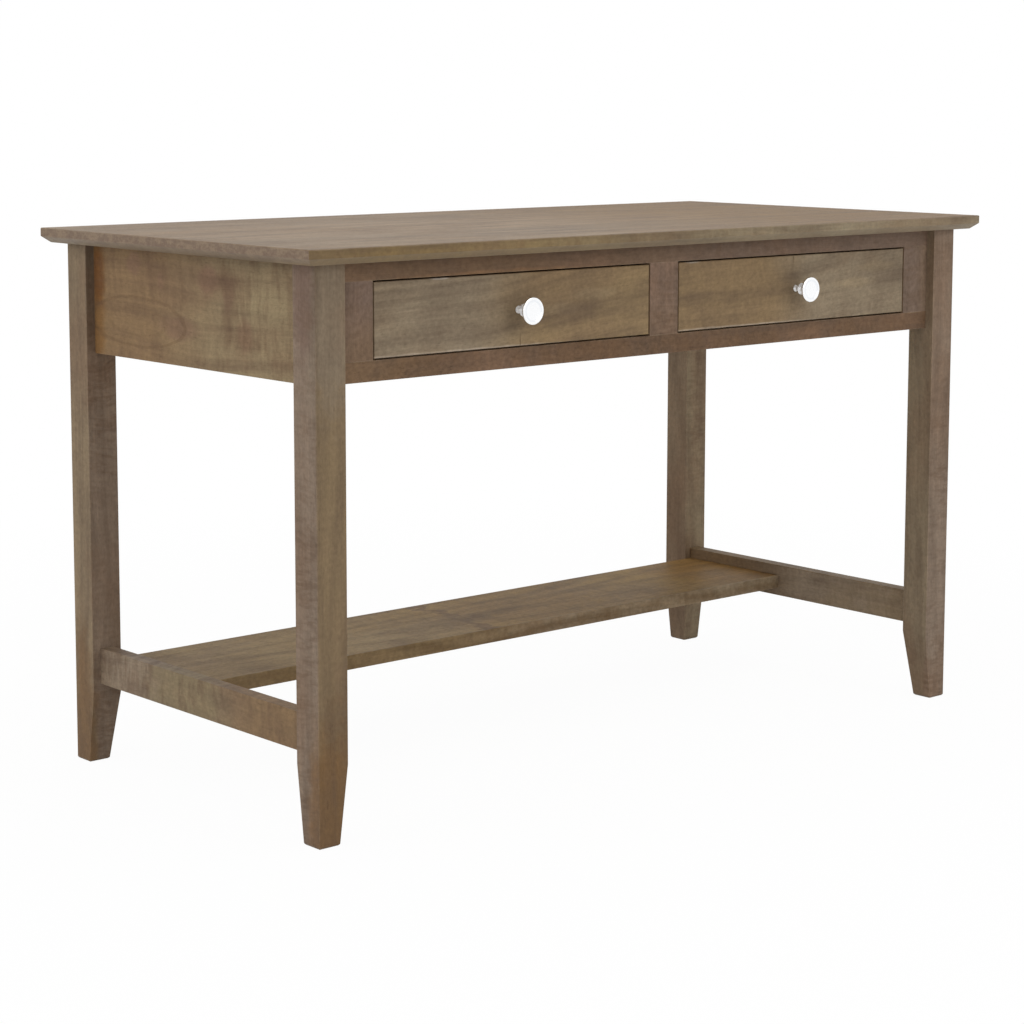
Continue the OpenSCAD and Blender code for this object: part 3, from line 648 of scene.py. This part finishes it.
def eased(node, passes, body="desk"):
    """A board standing for a CAD solid. Each pass (radius, wanted) rounds some edges over."""
    piece = whole_copy(node, node + "_eased")
    count = 0
    for radius, wanted in passes:
        bpy.ops.mesh.select_all(action="DESELECT")
        count += choose_edges(piece, wanted)
        bpy.ops.mesh.bevel(offset=radius, segments=ARRIS_STEPS, affect="EDGES",
                           clamp_overlap=True)
    bpy.ops.object.mode_set(mode="OBJECT")
    bpy.ops.object.shade_smooth_by_angle(angle=math.radians(35))
    bpy.ops.object.modifier_add(type="WEIGHTED_NORMAL")
    piece.modifiers[-1].keep_sharp = True
    bpy.ops.object.modifier_apply(modifier=piece.modifiers[-1].name)
    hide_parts(node)
    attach(piece, body)
    print(node, "edges eased:", count, "faces:", len(piece.data.polygons))
    return piece


def dress(piece, material):
    """Gives a piece or a solid its finish, in place of what it has."""
    piece.data.materials.clear()
    piece.data.materials.append(material)


def along_axis(axis):
    """A rule that is true for long edges along an axis."""
    def rule(start, end):
        run = end - start
        return run.length >= LONG_EDGE and abs(run[axis]) > 0.97 * run.length
    return rule


print("an arris of", MEMBER_ARRIS * 1000, "mm gets", ARRIS_STEPS, "steps")

# %% [markdown]
# The top: which board is it?
# A wide top is glued up from several boards, laid side by side with the grain along the desk.
# Each took the stain in its own way, so the joints show as faint changes of tone. The board's
# number follows from the distance across the top. A random value for each number picks the
# tone, a random colour shifts the pattern, and a hair line marks the glue.

# %% Board numbers, glue lines and tones
BOARD_WIDTH = 0.118
FIRST_JOINT = -0.03  # the first board starts this far outside the front edge
top_low, top_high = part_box("desk_top")


def glued_up(b, here):
    """Random values for each board across the top, and the glue lines between them."""
    across = b.axes(here)[1]
    share = b.math("DIVIDE", b.math("SUBTRACT", across, top_low.y + FIRST_JOINT), BOARD_WIDTH)
    chance = b.node("TexWhiteNoise", {"W": b.math("FLOOR", share)}, noise_dimensions="1D")
    rim = b.math("ABSOLUTE", b.math("SUBTRACT", b.math("FRACT", share), 0.5))
    return chance.outputs, b.ease(rim, 0.4955, 0.4995)


def board_tone(b, along, chance):
    """The tone of each board, warmer towards the right of the desk."""
    tint = b.mix(b.ease(chance, 0.1, 0.9), between(ASH, UMBER, 0.35),
                 between(SAND, UMBER, 0.35))
    return b.mix(b.ease(along, -0.2, 0.45, 0.0, 0.9), tint, tone(121, 96, 62))


print("boards in the top:", math.ceil((top_high.y - top_low.y - FIRST_JOINT) / BOARD_WIDTH))

# %% [markdown]
# The top: its edges.
# The long front edge is mossy at its left end and paler at the right, with dark spots. At the
# short ends the grain is cut across and drinks more stain, so it is redder and speckled. The
# normal tells the edges from the flat, and these tones are mixed in only where it turns.

# %% Edges of the top, and its whole finish
def front_edge(b, here, along):
    """The long edges: from mossy to pale, with spots."""
    spots = b.noise(here, (70, 30, 60), detail=3.0, rough=0.6)
    spotted = b.times(b.ease(spots, 0.42, 0.7), b.ease(along, -0.45, 0.3, 0.6, 0.2))
    edge = b.mix(b.ease(along, -0.5, 0.45), tone(128, 107, 70), tone(150, 139, 116))
    return b.mix(spotted, edge, tone(114, 91, 62))


def end_grain(b, here):
    """The short ends: reddish speckles, with the pores as dots."""
    speckle = b.noise(here, (30, 55, 120), detail=5.0, rough=0.75)
    cut = b.mix(b.ease(speckle, 0.40, 0.60), tone(137, 119, 100), tone(119, 101, 87))
    dots = b.ease(b.noise(here, (60, 330, 400)), 0.5, 0.66)
    return b.mix(b.times(dots, 0.3), cut, tone(96, 74, 62))


def glued_boards(name):
    """Boards side by side across Y, each with its own pattern and tone."""
    material, b, output = new_material(name)
    here = b.here()
    along = b.axes(here)[0]
    looks = b.axes(b.node("NewGeometry").outputs["Normal"])
    chance, glue = glued_up(b, here)
    to_front = b.ease(b.math("ABSOLUTE", looks[1]), 0.3, 0.5, 0.0, 0.95)
    tint = b.mix(to_front, board_tone(b, along, chance["Value"]), front_edge(b, here, along))
    place = b.vector("ADD", here, b.vector("SCALE", chance["Color"], scale=9.0))
    figure = figured(b, Place=place, Tone=tint, Deep=SMOKE, Blush=UMBER, Flame=0.36,
                     Curl=0.15, Blotch=0.33)
    to_end = b.ease(b.math("ABSOLUTE", looks[0]), 0.3, 0.5, 0.0, 0.9)
    colour = b.mix(to_end, figure.outputs["Color"], end_grain(b, here))
    # Faces that look down are mixed toward a paler tone: painted light that lifts the shade
    # under the top's bevelled edge.
    colour = b.mix(b.ease(looks[2], -0.8, -0.3, 0.3, 0.0), colour, tone(150, 138, 120))
    colour = b.mix(b.times(glue, 0.3), colour, SMOKE)
    varnished(b, output, rubbed(b, here, colour, reach=0.0026, share=0.4), figure)
    return material


top_board = eased("desk_top", [(MEMBER_ARRIS, lambda a, b: (b - a).length > 0.3)])
dress(top_board, glued_boards("stain_top_boards"))

# %% [markdown]
# The legs.
# Each leg is one square post with its grain upright, tapered on its two inner faces at the
# foot. The two faces seen in the photograph differ, as they do in one piece of wood: on the
# front left leg the outer face is a dusky mauve with ripples across, and the front face is
# olive with streaks along. The corner between them is where X minus Y has one value, so the
# tone changes there. On the right-hand legs the faces that lie in shade get lighter tones,
# partly their own and partly painted light that lifts that shade. The ends are eased by 4 mm,
# so that a dragged leg does not split.

# %% Legs
LEG_END, LEG_ARRIS = 0.004, 0.0007
FLOOR_LEVEL = 0.0005  # an edge under this height stands on the floor
LEG_FINISH = {
    "leg_front_left": dict(
        seed=1, first=DOVE, last=MOSS, curl=(0.5, 0.1), patches=[
            ((-0.592, -0.288, 0.02), (0.08, 0.035, 0.20), BARK, 0.75),
            ((-0.593, -0.288, 0.67), (0.05, 0.035, 0.16), tone(132, 118, 100), 0.75),
            ((-0.6165, -0.263, 0.70), (0.01, 0.03, 0.10), tone(112, 89, 78), 0.7)]),
    "leg_back_left": dict(
        seed=2, first=tone(139, 121, 96), last=between(MAUVE, ASH, 0.4), curl=(0.2, 0.5),
        patches=[
            ((-0.6165, 0.27, 0.03), (0.02, 0.04, 0.24), between(UMBER, BARK, 0.6), 0.9),
            # A greyer, darker patch high on the leg's front face: painted shadow where the leg
            # meets the apron and the top.
            ((-0.59, 0.2442, 0.68), (0.05, 0.004, 0.12), tone(104, 98, 84), 0.8)]),
    # Right-hand legs: the faces in shade (first on the front right, both on the back right) get
    # lighter tones, partly their own and partly painted light that lifts that shade.
    "leg_front_right": dict(seed=3, first=tone(141, 126, 104), last=DOVE, curl=(0.15, 0.5)),
    "leg_back_right": dict(
        seed=4, first=tone(136, 118, 97), last=tone(140, 125, 101), curl=(0.15, 0.45)),
}
for node, finish in LEG_FINISH.items():
    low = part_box(node)[0]
    corner = low.x - low.y
    leg = eased(node, [(LEG_END, lambda a, b: max(a.z, b.z) < FLOOR_LEVEL),
                       (LEG_ARRIS, lambda a, b: abs((b - a).z) > LONG_EDGE)])
    dress(leg, stained(
        "stain_" + node, "z", drift=(1, -1, 0), span=(corner - 0.003, corner + 0.003),
        blur=0.003, blush=between(UMBER, ROSE, 0.4), fine=2.1, **finish))

# %% [markdown]
# The aprons.
# These wide boards under the top tie the legs together. The left one is the liveliest board of
# the desk: olive ripples across its grain, rosy flecks, a russet strip near the back leg and a
# faint oval, where the saw cut through growth rings. The marks are placed as patches, and the
# oval as two thin rings. Only the edges along each board are eased, so the joints stay closed.

# %% Aprons
ROSY_FLECKS = [
    ((-0.603, y, z), (0.03, ry, rz), ROSE, 0.5) for y, z, ry, rz in (
        (-0.038, 0.707, 0.035, 0.022), (-0.036, 0.706, 0.032, 0.028),
        (0.141, 0.720, 0.025, 0.020), (0.032, 0.639, 0.060, 0.022),
        (-0.084, 0.690, 0.018, 0.030), (0.076, 0.700, 0.010, 0.018),
        (-0.120, 0.640, 0.022, 0.030))]
RUSSET_STRIP = [
    ((-0.603, 0.240, 0.665), (0.03, 0.031, 0.2), tone(126, 92, 54), 0.8),
    ((-0.603, 0.232, 0.695), (0.03, 0.020, 0.05), tone(110, 70, 34), 0.8)]
OVAL = [
    ((-0.603, 0.135, 0.640), (0.05, 0.115, 0.034), tone(106, 82, 56), 0.4, 0.045),
    ((-0.603, 0.135, 0.640), (0.05, 0.070, 0.019), tone(106, 82, 56), 0.2, 0.08)]


def stained_members(finishes):
    """Eases the long edges of each board named and stains it as its finish says."""
    for node, finish in finishes.items():
        board = eased(node, [(MEMBER_ARRIS, along_axis("xyz".index(finish["grain"])))])
        dress(board, stained("stain_" + node, **finish))


stained_members({
    "apron_left": dict(
        grain="y", seed=5, first=tone(133, 108, 78), last=tone(145, 128, 98),
        drift=(0, -1, 0), span=(-0.12, 0.1), curl=0.5, flame=0.2, fine=0.7,
        deep=tone(96, 74, 58), blush=between(UMBER, RUSSET, 0.4),
        patches=RUSSET_STRIP + ROSY_FLECKS + OVAL),
    "apron_right": dict(
        grain="y", seed=6, first=OLIVE, last=UMBER, drift=(0, 1, 0), span=(-0.2, 0.2),
        flame=0.35, blotch=0.35, fine=0.7),
    "apron_back": dict(
        grain="x", seed=7, first=ASH, last=OLIVE, span=(-0.4, 0.4), curl=0.12, flame=0.5),
})

# %% [markdown]
# The front frame.
# Two rails with three short stiles between them frame the drawers. They are a little darker and
# redder than the drawer fronts; on the top rail the darker tone is painted shadow of the top's
# overhang, with a lighter strip of painted light along its lower edge. In the openings, where
# the frame looks at the side of a drawer, the stain is thin and bare wood shows; its pale tone
# is also painted light that lifts the shade in the gaps.

# %% Rails and stiles
# A lighter strip along the top rail's lower edge: painted light where the top's overhang stops
# shading the rail.
RAIL_LIT_LOWER_EDGE = ((-0.30, -0.274, 0.716), (0.24, 0.05, 0.006), tone(134, 102, 72), 0.7)
STILE = dict(grain="z", curl=0.6, flame=0.2, blotch=0.45, fine=1.6, bare_and_lit=0.35)
UPWARDS = dict(drift=(0, 0, 1), span=(0.62, 0.70))
stained_members({
    # The top rail's tones are darkened as painted shadow of the top's overhang.
    "front_top_rail": dict(
        grain="x", seed=8, first=tone(110, 87, 66), last=tone(116, 97, 83),
        span=(-0.3, 0.3), curl=0.35, flame=0.25, blotch=0.4, patches=[RAIL_LIT_LOWER_EDGE], bare_and_lit=0.3),
    "front_low_rail": dict(
        grain="x", seed=9, first=tone(117, 93, 69), last=tone(104, 80, 59),
        span=(-0.57, -0.35), curl=0.5, flame=0.25, blotch=0.5, bare_and_lit=0.3),
    "stile_left": dict(
        seed=10, first=tone(124, 101, 80), last=tone(121, 101, 88), **UPWARDS, **STILE),
    "stile_centre": dict(
        seed=11, first=tone(124, 104, 87), last=tone(124, 104, 91), **UPWARDS, **STILE),
    "stile_right": dict(
        seed=12, first=MAUVE, last=between(UMBER, MAUVE, 0.5), span=(0.53, 0.57), **STILE),
})

# %% [markdown]
# Stretchers and foot board.
# Low stretchers tie the legs at each side, and a board to rest the feet on is let into both.
# Across the foot board runs a faint arch: a ring patch so large that only a part of it falls on
# the board, with a paler patch on its left and a browner one on its right. The board's front
# edge has tones of its own, so its patches are only a few millimetres deep.

# %% Stretchers and the foot board
MIDDLE_MOSS = ((-0.603, 0.03, 0.14), (0.05, 0.13, 0.08), OLIVE, 0.8)
BROWN_TOP = ((0.606, 0.0, 0.168), (0.1, 1.2, 0.004), MOSS, 0.7)
WARM_END = ((0.55, 0.14, 0.15), (0.16, 0.2, 0.05), tone(136, 104, 62), 0.8)
ARCH = [
    ((-0.19, 0.08, 0.152), (0.20, 0.10, 0.016), tone(150, 131, 97), 0.7),
    ((0.12, 0.14, 0.152), (0.22, 0.16, 0.016), tone(131, 106, 69), 0.75),
    ((-0.446, 0.18, 0.152), (0.41, 0.48, 0.3), tone(104, 80, 56), 0.75, 0.022)]
FRONT_OF_BOARD = [
    ((0.06, 0.0377, 0.139), (0.34, 0.004, 0.03), tone(129, 110, 89), 0.9),
    ((-0.36, 0.0377, 0.139), (0.5, 0.004, 0.03), tone(129, 109, 79), 0.8),
    ((0.46, 0.0377, 0.139), (0.52, 0.004, 0.03), tone(144, 130, 110), 0.9)]
stained_members({
    "stretcher_left": dict(
        grain="y", seed=13, first=tone(132, 107, 78), last=tone(139, 123, 104),
        drift=(0, 1, 0), span=(-0.2, 0.16), curl=0.6, flame=0.2, blotch=0.35, fine=0.9,
        patches=[MIDDLE_MOSS]),
    # The right stretcher's tones are lifted, partly its own colour and partly painted light
    # against the shade on its inner face.
    "stretcher_right": dict(
        grain="y", seed=14, first=tone(145, 130, 112), last=tone(132, 108, 80),
        drift=(0, 1, 0), span=(-0.05, 0.2), curl=0.4, flame=0.2,
        blush=MOSS, patches=[BROWN_TOP]),
    "foot_board": dict(
        grain="x", seed=15, first=tone(140, 119, 83), last=tone(143, 117, 70),
        span=(-0.5, 0.2), curl=0.25, flame=0.6, blotch=0.45, deep=tone(96, 74, 48),
        blush=between(UMBER, OLIVE, 0.3), patches=[WARM_END] + ARCH + FRONT_OF_BOARD),
})

# %% [markdown]
# The drawer fronts.
# These are the best boards of the desk: calm, with long waves of grain that climb to the right.
# Each is greyer on one half and warmer on the other, and on the right drawer the halves are the
# other way round. A short crack runs in from one edge near the middle. On the upper edge sits a
# small pale spot. Along the lower edge runs a pale strip of painted highlight, where the lit
# arris catches the light. All are patches.

# %% Drawer fronts
CHALK = tone(196, 188, 176)
FACE_ARRIS = 0.0005
CLIMB = 0.1  # metres up for each metre to the right
WHERE_TONES_MEET = -0.015  # from the middle of a face
FACES = {
    "left_face": ("drawer_left", dict(
        seed=16, first=tone(142, 127, 105), last=tone(141, 119, 87)), dict(
        pale_spot=(-0.405, 0.0215), crack=(-0.268, 0.0),
        waves=[(-0.195, 0.662), (-0.135, 0.680)])),
    "right_face": ("drawer_right", dict(
        seed=17, first=tone(134, 112, 82), last=tone(140, 125, 103)), dict(
        pale_spot=(0.056, 0.0195), crack=(0.265, 1.0),
        waves=[(0.40, 0.668), (0.455, 0.690)])),
}


def climbing(b, here):
    """The place, sheared so that the grain climbs to the right."""
    axes = b.axes(here)
    risen = b.times(axes[0], -CLIMB, plus=axes[2])
    return b.node("CombineXYZ", {0: axes[0], 1: axes[1], 2: risen}).outputs[0]


def face_patches(low, high, middle, pale_spot, crack, waves):
    """Pale waves at (x, z), a pale spot at (x, half width), a pale strip of painted highlight
    along the lower edge, and a crack at (x, share of the height)."""
    crack_z = low.z + (high.z - low.z) * crack[1]
    return [((x, low.y, z), (0.055, 0.02, 0.011), tone(160, 141, 110), 0.38)
            for x, z in waves] + [
        ((pale_spot[0], low.y, high.z), (pale_spot[1], 0.02, 0.0025), CHALK, 0.75),
        # A pale strip along the lower edge: painted highlight of the lit lower arris.
        ((middle - 0.13, low.y, low.z), (0.32, 0.02, 0.0034), tone(182, 166, 148), 0.8),
        ((crack[0], low.y, crack_z), (0.0011, 0.02, 0.019), tone(80, 60, 44), 0.8)]


for node, (body, tones, marks) in FACES.items():
    low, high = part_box(node)
    middle = (low.x + high.x) / 2 + WHERE_TONES_MEET
    face = eased(node, [(FACE_ARRIS, lambda a, b: (b - a).length > LONG_EDGE)], body)
    dress(face, stained(
        "stain_" + node, "x", **tones, span=(middle - 0.06, middle + 0.06), blur=0.1,
        flame=0.4, curl=0.15, blotch=0.36, fine=1.2, blush=UMBER, before=climbing,
        patches=face_patches(low, high, middle, **marks), bare_and_lit=0.25))

# %% [markdown]
# The pale wood inside.
# Drawer boxes, slide rails, corner blocks and the wooden buttons under the top are clear
# finished pale hardwood. It is the same figure with light tones and hardly any blotches.
# Cut ends drink more finish and turn darker, which makes the dovetails of the boxes show.

# %% Maple for the drawer boxes and the carcase's insides
CREAM = tone(226, 205, 172)
HONEY = tone(206, 176, 134)
WHEAT = tone(214, 190, 152)
FIRST_MAPLE_SEED = 20


def maple(name, grain, seed):
    """Clear-finished pale hardwood."""
    return stained(name, grain, seed, CREAM, WHEAT, drift=(1, 1, 1), span=(-0.4, 1.2),
                   blur=0.3, curl=0.12, flame=0.75, blotch=0.06, blush=WHEAT, deep=HONEY,
                   cut=tone(172, 134, 90))


MAPLE_ON_EACH_SIDE = {
    "{}_box_front": "x", "{}_box_back": "x", "{}_side_outer": "y", "{}_side_inner": "y",
    "{}_bottom": "x", "slide_rail_{}_outer": "y", "slide_rail_{}_inner": "y"}
MAPLE_GRAIN = {name.format(side): grain for side in ("left", "right")
               for name, grain in MAPLE_ON_EACH_SIDE.items()}
MAPLE_GRAIN.update(corner_blocks="z", top_buttons="y")
for seed, (node, grain) in enumerate(MAPLE_GRAIN.items(), FIRST_MAPLE_SEED):
    dress(nodes[node], maple("maple_" + node, grain, seed))
print("maple pieces:", len(MAPLE_GRAIN))

# %% [markdown]
# Steel inside.
# The slides are pressed from zinc-plated sheet, so they are bright but not mirrors: rolling
# leaves fine lines along the strip and the plating has faint clouds. The screws were dipped
# apart from them and came out darker. The balls are ground and polished. One recipe makes all
# three, with its own numbers for each.

# %% Zinc plate, screw steel and ball steel
BRIGHT_EDGE = (0.9, 0.9, 0.9, 1)


def metal(name, base, rough, cloud, line_scale, relief):
    """Bare or plated metal with faint clouds, fine lines and a little relief."""
    material, b, output = new_material(name)
    here = b.here()
    clouds = b.noise(here, (60, 60, 60), detail=4.0, rough=0.6)
    lines = b.noise(here, line_scale)
    shade = b.times(b.math("SUBTRACT", clouds, 0.5), cloud, plus=1.0)
    worn = b.times(near_edge(b, 0.0008), 0.25)
    colour = b.mix(worn, b.shaded(base, shade), BRIGHT_EDGE)
    roughness = b.times(lines, rough * 0.5, plus=rough * 0.75)
    sockets = {"Base Color": colour, "Metallic": 1.0, "Roughness": roughness}
    b.surface(output, sockets, lines, strength=0.4, relief=relief)
    return material


zinc = metal("zinc_plate", (0.66, 0.67, 0.69, 1), rough=0.34, cloud=0.25,
             line_scale=(900, 25, 900), relief=0.00005)
screw_steel = metal("screw_steel", (0.40, 0.40, 0.42, 1), rough=0.3, cloud=0.3,
                    line_scale=(500, 500, 500), relief=0.00003)
ball_steel = metal("ball_steel", (0.80, 0.81, 0.83, 1), rough=0.1, cloud=0.1,
                   line_scale=(400, 400, 400), relief=0.00001)
for node in nodes:
    if node.endswith("balls"):
        dress(nodes[node], ball_steel)
    elif node.endswith(("screws", "screw")):
        dress(nodes[node], screw_steel)
    elif node.endswith(("members", "retainers")):
        dress(nodes[node], zinc)
print("plated pieces:", sum(1 for node in nodes if nodes[node].data.materials[0] == zinc))

# %% [markdown]
# The knobs: one outline.
# Each knob is turned from one bar and chrome plated: a small foot, a thin waist, a trumpet
# collar, a neck and a wide dished face with a rolled rim. Foot and collar slope back in, so
# they mirror the bright room and not the drawer. A lathe turns a shape from one profile, so
# that comes first, as points of radius and height above the drawer front. Slopes need only
# their ends, trumpets are quarters of an ellipse, and rolled edges are arcs.

# %% Outline of the knob
knob_low, knob_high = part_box("left_knob")
knob_axis = Vector(((knob_low.x + knob_high.x) / 2, knob_high.y,
                    (knob_low.z + knob_high.z) / 2))
knob_radius = (knob_high.x - knob_low.x) / 2
knob_reach = knob_high.y - knob_low.y
FOOT_ROLL, FOOT_EDGE = (0.0048, 0.0003), 0.0003
WAIST = (0.0034, 0.0038)
COLLAR, COLLAR_ROLL, COLLAR_EDGE = (0.0081, 0.0112), (0.0082, 0.0115), 0.00035
NECK = (0.0064, 0.0155)
RIM_EDGE = 0.0016
DISH_RADIUS, DISH_DEPTH = 0.0145, 0.0015


def bow(start, end, steps):
    """A quarter of an ellipse between two (radius, height) points, along the axis at first."""
    (r0, h0), (r1, h1) = start, end
    turns = [math.pi / 2 * k / steps for k in range(1, steps + 1)]
    return [(r0 + (r1 - r0) * (1 - math.cos(t)), h0 + (h1 - h0) * math.sin(t))
            for t in turns]


def roll(centre, radius, first, last, steps):
    """An arc of a circle in the outline, its angles in degrees."""
    turns = [math.radians(first + (last - first) * k / steps) for k in range(steps + 1)]
    return [(centre[0] + radius * math.cos(t), centre[1] + radius * math.sin(t))
            for t in turns]


def knob_outline():
    """(radius, height) points from the middle of the foot to the middle of the dish."""
    points = [(0.0, 0.0), (0.0047, 0.0)]
    points += roll(FOOT_ROLL, FOOT_EDGE, -90, 30, 4)[1:]
    points += [(0.0035, 0.0032), (0.0034, 0.0034), WAIST]
    points += bow(WAIST, COLLAR, 14)
    points += roll(COLLAR_ROLL, COLLAR_EDGE, -60, 30, 6)
    points += [(0.0065, 0.0152), NECK]
    points += bow(NECK, (knob_radius - RIM_EDGE, knob_reach - 2 * RIM_EDGE), 18)
    points += roll((knob_radius - RIM_EDGE, knob_reach - RIM_EDGE), RIM_EDGE, -60, 90, 12)
    points += [(DISH_RADIUS + 0.0012, knob_reach - 0.00006)]
    return points + bow((DISH_RADIUS, knob_reach), (0.0, knob_reach - DISH_DEPTH), 14)


outline = knob_outline()
print("outline points:", len(outline), "radius:", round(knob_radius, 4))

# %% [markdown]
# The knobs: on the lathe.
# The spin tool does what a lathe does. The outline is drawn point by point, by extruding a
# single vertex, then spun once round the knob's axis, and its two ends close at the poles. A
# spin can turn a shape inside out, so the normals are made to point outwards. The second knob
# is a copy of the first, moved across to its own drawer.

# %% Draw the outline and spin it
KNOB_STEPS = 96


def turned_knob(name):
    """One knob, turned about the axis of the left knob."""
    deselect_all()
    bpy.ops.mesh.primitive_plane_add(size=0.001, location=knob_axis)
    piece = bpy.context.object
    piece.name = name
    bpy.ops.object.mode_set(mode="EDIT")
    bpy.ops.mesh.select_all(action="SELECT")
    bpy.ops.mesh.merge(type="CENTER")
    for (r0, h0), (r1, h1) in zip(outline, outline[1:]):
        bpy.ops.mesh.extrude_region_move(TRANSFORM_OT_translate={
            "value": (r1 - r0, h0 - h1, 0)})
    bpy.ops.mesh.select_all(action="SELECT")
    bpy.ops.mesh.spin(steps=KNOB_STEPS, angle=2 * math.pi, center=knob_axis, axis=(0, 1, 0))
    bpy.ops.mesh.select_all(action="SELECT")
    bpy.ops.mesh.remove_doubles(threshold=0.000002)
    bpy.ops.mesh.normals_make_consistent(inside=False)
    bpy.ops.object.mode_set(mode="OBJECT")
    bpy.ops.object.shade_smooth_by_angle(angle=math.radians(50))
    bpy.ops.object.transform_apply(location=True, rotation=True, scale=True)
    return piece


knob_left = turned_knob("turned_knob_left")
right_low, right_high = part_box("right_knob")
knob_right = copied(knob_left, "turned_knob_right")
bpy.ops.transform.translate(value=(right_low.x - knob_low.x, 0, 0))
bpy.ops.object.transform_apply(location=True, rotation=True, scale=True)
print("knob faces:", len(knob_left.data.polygons))

# %% [markdown]
# Chrome.
# Polished plate is nearly a perfect mirror, so its look comes from what it reflects: here the
# white studio. Fingers leave it a touch less sharp in places. A faint blue-grey ring of painted
# shade lies where the dish meets the rim. Nobody polishes the stem, which stays satin.

# %% Chrome plate for the knobs
PLATE = (0.97, 0.975, 0.985, 1)
DISH_RING_SHADE = (0.66, 0.72, 0.80, 1)
RING_START, RING_MIDDLE, RING_END = 0.0105, 0.0140, 0.0152


def chrome(name, middle):
    """Chrome plate with faint smears and a soft ring of painted shade round the dish of the
    knob at middle.
    """
    material, b, output = new_material(name)
    here = b.here()
    off = b.stretch(here, (1, 0, 1), shift=(-middle.x, 0, -middle.z))
    radius = b.vector("LENGTH", off)
    depth = b.axes(here)[1]
    face = middle.y - knob_reach
    # The ring is painted shade: darker blue-grey where the dish meets the rim.
    ring = b.times(b.ease(radius, RING_START, RING_MIDDLE),
                   b.ease(radius, RING_MIDDLE, RING_END, 1.0, 0.0))
    ring = b.times(ring, b.ease(depth, face + 0.003, face + 0.0015, 0.0, 0.3))
    smear = b.noise(here, (130, 130, 130), detail=3.0, rough=0.6, warp=0.4)
    sockets = {
        "Base Color": b.mix(ring, PLATE, DISH_RING_SHADE),
        "Metallic": b.ease(depth, middle.y - 0.016, face + 0.004, 0.2, 0.95),
        "Roughness": b.times(b.ease(smear, 0.35, 0.75), 0.08, plus=0.1)}
    b.surface(output, sockets, smear, strength=0.1, relief=0.00002)
    return material


right_axis = Vector(((right_low.x + right_high.x) / 2, right_high.y, knob_axis.z))
for piece, node, body, middle in (
        (knob_left, "left_knob", "drawer_left", knob_axis),
        (knob_right, "right_knob", "drawer_right", right_axis)):
    dress(piece, chrome("chrome_" + node, middle))
    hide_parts(node)
    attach(piece, body)
    print(piece.name, "stands for", node)

# %% [markdown]
# Plain view settings.
# The dressed desk has to stay inside the box of the solids. View settings stay plain, so that
# a colour renders as it was chosen.

# %% View settings
bpy.context.scene.view_settings.view_transform = "Standard"
